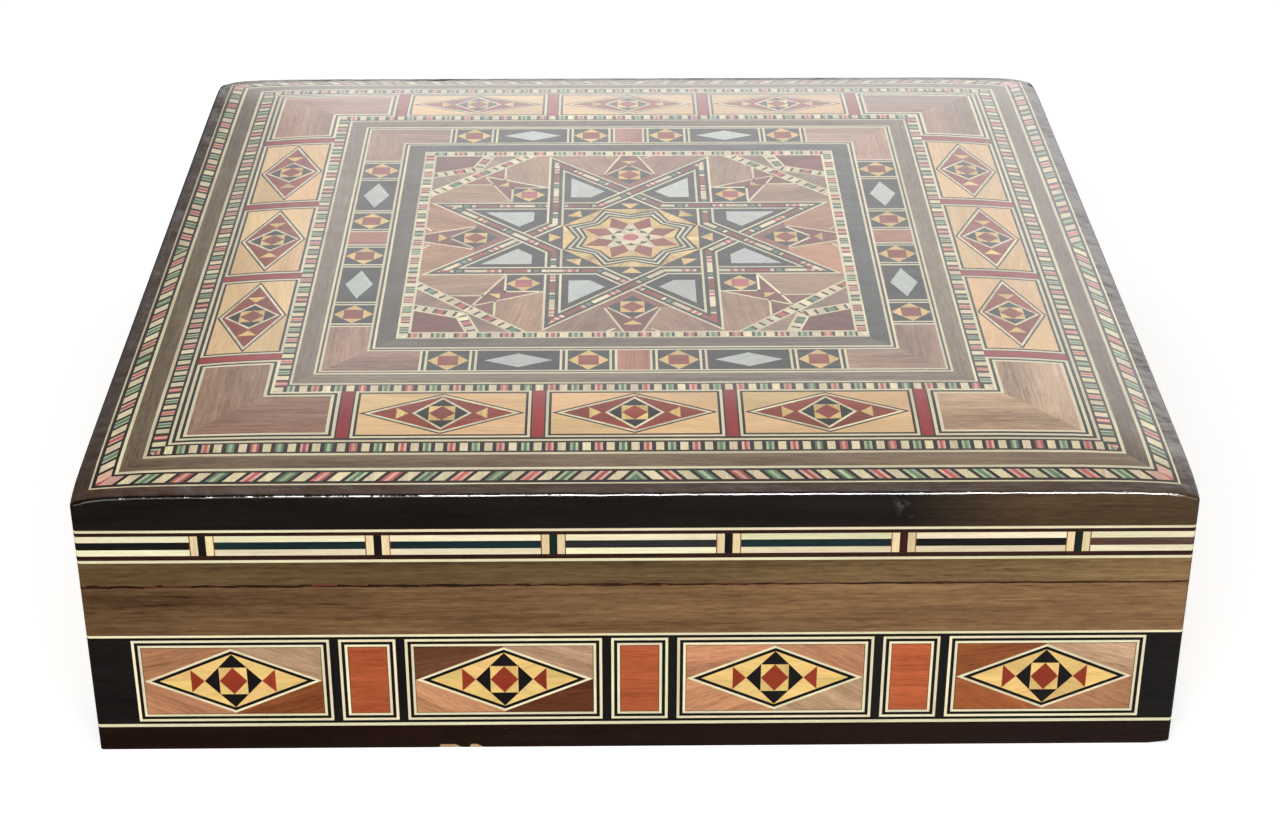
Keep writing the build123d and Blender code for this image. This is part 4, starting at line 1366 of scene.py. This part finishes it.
def centre():
    """Eight black arms with yellow triangles round an eight-pointed star of chevrons."""
    ground = Inlay("star_centre_laid", dark_wood, "ebony", "star_centre_ground")
    rosette = Inlay("star_rosette_laid", lemonwood, "lemonwood", "star_centre_rosette")
    tip = (INNER / math.cos(QUARTER / 2), 0)
    apex, middle = (ARM_APEX, 0), (ARM_BASE[0], 0)
    for turn in range(8):
        place = Flat(45 * turn)
        for hand in HANDS:
            side = (INNER, hand * INNER * math.tan(QUARTER / 4))
            base = (ARM_BASE[0], hand * ARM_BASE[1])
            arms = ([tip, middle, base], [tip, base, side], [apex, base, side], [apex, side, (INNER, 0)])
            for outline in arms:
                ground.lay(place, outline, "ebony", hand * 40)
            ground.lay(place, [(INNER, 0), side, ray(POINT, hand * 22.5), (NOTCH, 0)], "lemon", hand * 20)
            ground.lay(place, [apex, base, middle], "lemon", 90)
        point, notch = POINT, NOTCH
        for stain, thick in CHEVRON:
            inner_notch, inner_point = notch - thick * CHEVRON_NOTCH, point - thick * CHEVRON_POINT
            for hand in HANDS:
                points = [ray(point, hand * 22.5), ray(inner_point, hand * 22.5)]
                rosette.lay(place, [(notch, 0), *points, (inner_notch, 0)], stain, hand * 60)
            point, notch = inner_point, inner_notch
        sides = [ray(SHOULDER[0], 45 - SHOULDER[1]), ray(KITE_BASE, 22.5), ray(*SHOULDER)]
        rosette.lay(place, [ray(point - TIP_GAP, 22.5), *sides], "redwood", 22)
        for hand in HANDS:
            shoulder = ray(SHOULDER[0], hand * SHOULDER[1])
            kite_base = ray(KITE_BASE, hand * 22.5)
            heart = ray(HEART, hand * 22.5)
            bend = (TEAL_SIDE[0], hand * TEAL_SIDE[1])
            pieces = (
                ([(notch, 0), ray(point, hand * 22.5), ray(point - TIP_GAP, hand * 22.5), shoulder], "lemon"),
                ([(notch, 0), shoulder, (LEMON_END, 0)], "lemon"),
                ([(LEMON_END, 0), shoulder, (PINK_END, 0)], "pale_red"),
                ([(PINK_END, 0), shoulder, kite_base, (CREAM_END, 0)], "cream"),
                ([(CREAM_END, 0), kite_base, bend], "teal"),
                ([(CREAM_END, 0), bend, (TEAL_END, 0)], "teal"),
                ([bend, kite_base, heart, (TEAL_END, 0)], "cream"),
                ([(TEAL_END, 0), heart, (HUB, 0)], "cream"),
                ([(HUB, 0), heart, (0, 0)], "red"),
            )
            for outline, stain in pieces:
                rosette.lay(place, outline, stain, hand * 20)


def stroke(inlay, place, start, end, width=0.6):
    """A straight line of stringing, let in over the pieces beside it."""
    length = math.dist(start, end)
    dx, dy = (end[1] - start[1]) * width / 2 / length, (start[0] - end[0]) * width / 2 / length
    outline = [
        (start[0] + dx, start[1] + dy), (end[0] + dx, end[1] + dy),
        (end[0] - dx, end[1] - dy), (start[0] - dx, start[1] - dy),
    ]
    inlay.lay(place, outline, "ivory", math.degrees(math.atan2(end[1] - start[1], end[0] - start[0])))


CORNER_HUES = ("cream", "cream", "red", "cream", "cream", "cream", "green")


def checks_along(inlay, place, outline, degrees, pitch, gap):
    """Fills a convex outline with blocks that follow one another in this direction."""
    along = ray(1, degrees)
    reaches = [x * along[0] + y * along[1] for x, y in outline]
    start = min(reaches) - rng.uniform(0, pitch)
    number = rng.randrange(len(CORNER_HUES))
    while start < max(reaches):
        hue = CORNER_HUES[number % len(CORNER_HUES)]
        end = start + pitch - gap
        for low, high, stain in ((start, end, hue), (end, start + pitch, "dark")):
            inlay.lay(place, between(outline, along, low, high), stain, degrees + 90, 0.08)
        start += pitch
        number += 1


# Field pieces on the axes of the star (x out from the centre, y to either side of the axis)
AXIS_CENTRE = 40.9
AXIS_HALF = 6.0
AXIS_KNEE = 7.0
AXIS_FOOT = 2.4
AXIS_LINES = (
    ((AXIS_CENTRE + 0.6, AXIS_KNEE), (FIELD, AXIS_FOOT)),
    ((AXIS_CENTRE + 0.3, 6.3), (AXIS_CENTRE + AXIS_HALF + 0.3, 0.6)),
    ((52.8, 4.4), (FIELD, 6.4)),
)
AXIS_TRIANGLE = [(48.4, 0), (50.6, 2.5), (50.6, -2.5)]

# Field pieces in its corners: the star square, the slanting band, its joins and its elbow at each end
CORNER_NEAR, CORNER_FAR = 23.2, 31.8
CORNER_LINE = 0.3
CORNER_JOIN = (37.3, 34.4)
CORNER_TRIANGLE = [(33.3, 33.3), (36.2, 33.3), (34.75, 34.75)]
BAND_NEAR, BAND_FAR = 80.2, 84.8
BAND_CHECKS = (2.9, 0.8)
ELBOW_CHECKS = (2.7, 0.75)
ELBOWS = (
    (39.2, 42.7, (41.1, 43.7), (43.5, 46.6)),
    (37.6, 41.2, (43.7, 41.1), (46.6, 43.5)),
)


def field_segments():
    axis = Inlay("field_axis_laid", figured, "figured_walnut", "field_axis_segments")
    corner = Inlay("field_corner_laid", figured, "figured_walnut", "field_corner_segments")
    rosettes = Inlay("field_rosettes_laid", lemonwood, "lemonwood", "field_rosettes")
    bandings = Inlay("field_bandings_laid", block_wood, "banding", "field_corner_bandings")
    crossing = OUTER / math.cos(QUARTER / 2)
    edge, near, far = AXIS_CENTRE - crossing, AXIS_CENTRE - AXIS_HALF, AXIS_CENTRE + AXIS_HALF
    for side in range(4):
        place, proud = Flat(90 * side - 90), Flat(90 * side - 90, 0.02)
        star_core(rosettes, place, AXIS_CENTRE, 0, AXIS_HALF, AXIS_HALF)
        for hand in HANDS:
            flank = (AXIS_CENTRE, hand * edge)
            shoulder = (AXIS_CENTRE, hand * AXIS_HALF)
            knee = (AXIS_CENTRE, hand * AXIS_KNEE)
            foot = (FIELD, hand * AXIS_FOOT)
            outward = [knee, flank, (crossing + OUTER, hand * OUTER), (FIELD, hand * OUTER), foot]
            pieces = (
                ([(crossing, 0), flank, shoulder, (near, 0)], "mauve", hand * 30),
                (outward, "pink_walnut" if side % 2 else "rose_walnut", hand * 25),
                ([shoulder, knee, foot, (far, 0)], "plum", 0),
                ([(far, 0), foot, (FIELD, 0)], "plum", 0),
            )
            for outline, stain, grain in pieces:
                axis.lay(place, outline, stain, grain, 0.07)
            for line in AXIS_LINES:
                stroke(axis, proud, *[(x, hand * y) for x, y in line])
        axis.lay(proud, AXIS_TRIANGLE, "lemon", 90)
        for mirrored in (False, True):
            field_corner(corner, rosettes, bandings, place, proud, mirrored, mirrored == (side % 2 == 1))


def field_corner(corner, rosettes, bandings, place, proud, mirrored, front):
    """Half a corner of the field, beside its diagonal. front picks the elbow of the front and back edges."""

    def sided(*outline):
        return [(y, x) for x, y in outline] if mirrored else outline

    def run_way(degrees):
        return 90 - degrees if mirrored else degrees

    near, far = CORNER_NEAR, CORNER_FAR
    if not mirrored:
        star_square(rosettes, place, (near + far) / 2, (far - near) / 2)
    low, high, elbow_in, elbow_out = ELBOWS[front]
    tip = (BAND_NEAR / 2, BAND_NEAR / 2)
    start = (far + CORNER_LINE, OUTER)
    join = CORNER_JOIN
    far_join = (BAND_NEAR - join[1], join[1])
    band_in, band_out = (FIELD, BAND_NEAR - FIELD), (FIELD, BAND_FAR - FIELD)
    pieces = (
        (((OUTER, OUTER), (far, OUTER), (far, near), (near, near)), "ebony", 0),
        (((far, OUTER), start, tip, (far, far)), "plum", 70),
        ((start, (FIELD, OUTER), band_in, far_join, join), "field_walnut", 10),
        ((join, far_join, tip), "mauve", 30),
        ((band_out, (FIELD, low), elbow_in), "taupe_field", 60),
        (((FIELD, high), (FIELD, FIELD), elbow_out), "plum", 45),
    )
    for outline, stain, grain in pieces:
        corner.lay(place, sided(*outline), stain, run_way(grain), 0.07)
    for ends in ((start, tip), (join, far_join), ((far + CORNER_LINE, near), (far + CORNER_LINE, far + 0.6))):
        stroke(corner, proud, *sided(*ends))
    corner.lay(proud, sided(*CORNER_TRIANGLE), "lemon", 45)
    run = math.degrees(math.atan2(elbow_in[1] - low, elbow_in[0] - FIELD))
    elbow = sided((FIELD, low), (FIELD, high), elbow_out, elbow_in)
    checks_along(bandings, place, elbow, run_way(run), *ELBOW_CHECKS)
    checks_along(bandings, place, sided(band_in, band_out, elbow_in, tip), -45, *BAND_CHECKS)
    for ends in (
        ((FIELD, low + 0.3), (elbow_in[0] + 0.1, elbow_in[1] + 0.3)),
        ((FIELD, high - 0.3), elbow_out),
        ((FIELD, band_in[1] + 0.4), (tip[0] + 0.2, tip[1] + 0.2)),
        ((FIELD, band_out[1] - 0.4), elbow_in),
    ):
        stroke(bandings, proud, *sided(*ends), 0.55)


def star_square(inlay, place, middle, half):
    """A black square on the diagonal with a pale diamond and a pink square in it."""
    tile(inlay, place, square_at(middle, middle, half, half), diamond(middle, middle, half, half))
    rosette_tile(inlay, place, middle, middle, half, "rosewood_pink")


straps()
kites()
centre()
field_segments()
for inlay in Inlay.every:
    inlay.build()

# ---------------------------------------------------------------- parts kept from the frame
SLOT_MATERIALS = {"hinge_brass": brass, "pin_steel": steel, "velvet": red_velvet, "felt": green_felt}
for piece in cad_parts.values():
    sideways = "left" in piece.name or "right" in piece.name
    for slot in piece.material_slots:
        name = slot.material.name if slot.material else ""
        if "carcass_wood" in name:
            slot.material = beech_y if sideways else beech_x
        for key, material in SLOT_MATERIALS.items():
            if key in name:
                slot.material = material

# ---------------------------------------------------------------- floor, surround, lights and camera
FLOOR_HALF = 4.0
FLOOR_WHITE = 0.92
FLOOR_GLOW = 0.45
floor = bpy.data.objects.new("floor", bpy.data.meshes.new("floor"))
floor_corners = [(x, y, 0) for x, y in square_at(0, 0, FLOOR_HALF, FLOOR_HALF)]
floor.data.from_pydata(floor_corners, [], [(0, 1, 2, 3)])
bpy.context.scene.collection.objects.link(floor)
paper = Nodes("white_paper")
paper_rays = paper.new("ShaderNodeLightPath").outputs
mirrored = paper.grey(paper.band(paper.apart(paper.place())["X"], -0.06, 0.14, 0.05, 0.2))
shown = paper.new("ShaderNodeEmission", {"Color": mirrored, "Strength": 1.0}).outputs[0]
paper.set(
    Base_Color=(FLOOR_WHITE, FLOOR_WHITE, FLOOR_WHITE, 1),
    Roughness=0.8,
    Specular_IOR_Level=0.0,
    Emission_Color=(1, 1, 1, 1),
    Emission_Strength=paper.times(paper_rays["Is Camera Ray"], FLOOR_GLOW),
)
seen = {0: paper_rays["Is Glossy Ray"], 1: paper.shader.outputs[0], 2: shown}
swap = paper.new("ShaderNodeMixShader", seen)
paper.put(paper.find("OUTPUT_MATERIAL").inputs["Surface"], swap.outputs[0])
floor.data.materials.append(paper.owner)

# The studio: an even white surround, which the lacquer mirrors as a tall bright sheet behind the box and a
# brighter strip overhead. Brightness by height in degrees, from the horizon behind over the top to the front.
SHEET = (
    (0, 1.3), (6, 1.6), (13, 2.1), (22, 2.3), (27, 1.9), (32, 1.5), (38, 1.1), (46, 0.98), (53, 0.6),
    (60, 0.5), (74, 0.4), (116, 0.3), (119, 55.0), (142, 55.0), (145, 0.3), (150, 0.2),
)
BRIGHTEST = max(brightness for _, brightness in SHEET)
SURROUND = 0.54
studio = Nodes("studio", "worlds", "BACKGROUND")
bpy.context.scene.world = studio.owner
rays = studio.new("ShaderNodeLightPath").outputs
way = studio.apart(studio.place("Generated"))
round_box = studio.band(studio.math("ARCTAN2", way["Z"], way["Y"]), 0.0, math.pi)
marks = [(degrees / 180, [brightness / BRIGHTEST] * 3) for degrees, brightness in SHEET]
sheet = studio.ramp(round_box, marks)
# To the left the whole sheet is dimmer; overhead there is nothing bright to the left and right
dim_left = studio.band(way["X"], -0.32, -0.085, 0.16 * BRIGHTEST, BRIGHTEST, interpolation_type="SMOOTHSTEP")
to_sides = studio.math("MAXIMUM", studio.band(way["X"], -0.06, -0.14), studio.band(way["X"], 0.32, 0.45))
shadow = studio.times(studio.band(round_box, 0.33, 0.37), to_sides)
glossy = studio.times(dim_left, studio.math("SUBTRACT", 1.0, shadow))
strength = studio.new("ShaderNodeMix", {0: rays["Is Glossy Ray"], 2: SURROUND, 3: glossy}, data_type="FLOAT")
studio.set(
    Strength=studio.math("MAXIMUM", strength.outputs[0], rays["Is Camera Ray"]),
    Color=studio.mix(rays["Is Glossy Ray"], (1, 1, 1, 1), sheet),
)


def softbox(name, location, size, watts):
    """A square lamp turned to the middle of the box, which is not mirrored in the lacquer."""
    lamp_data = bpy.data.lights.new(name, "AREA")
    lamp_data.shape = "RECTANGLE"
    lamp_data.size = lamp_data.size_y = size
    lamp_data.energy = watts
    lamp_data.specular_factor = 0.0
    lamp = bpy.data.objects.new(name, lamp_data)
    lamp.location = location
    lamp.rotation_euler = (Vector((0, 0, 0.04)) - Vector(location)).to_track_quat("-Z", "Y").to_euler()
    bpy.context.scene.collection.objects.link(lamp)


softbox("key", (-0.5, -1.3, 0.75), 0.9, 8.4)
softbox("fill", (0.7, -1.2, 0.6), 0.7, 3.6)

CAMERA_AT = (-0.00568, -0.59185, 0.3487)
CAMERA_WAY = (0.01206, 0.87313, -0.48734)
CAMERA_TILT = 0.105
camera_data = bpy.data.cameras.new("camera")
camera_data.sensor_width = 36
camera_data.lens = 69.44
camera_data.clip_start = 0.01
camera = bpy.data.objects.new("camera", camera_data)
aim = Vector(CAMERA_WAY).normalized().to_track_quat("-Z", "Y").to_matrix().to_4x4()
camera.matrix_world = Matrix.Translation(CAMERA_AT) @ aim @ Matrix.Rotation(math.radians(CAMERA_TILT), 4, "Z")
bpy.context.scene.collection.objects.link(camera)
bpy.context.scene.camera = camera
bpy.context.scene.view_settings.view_transform = "Standard"
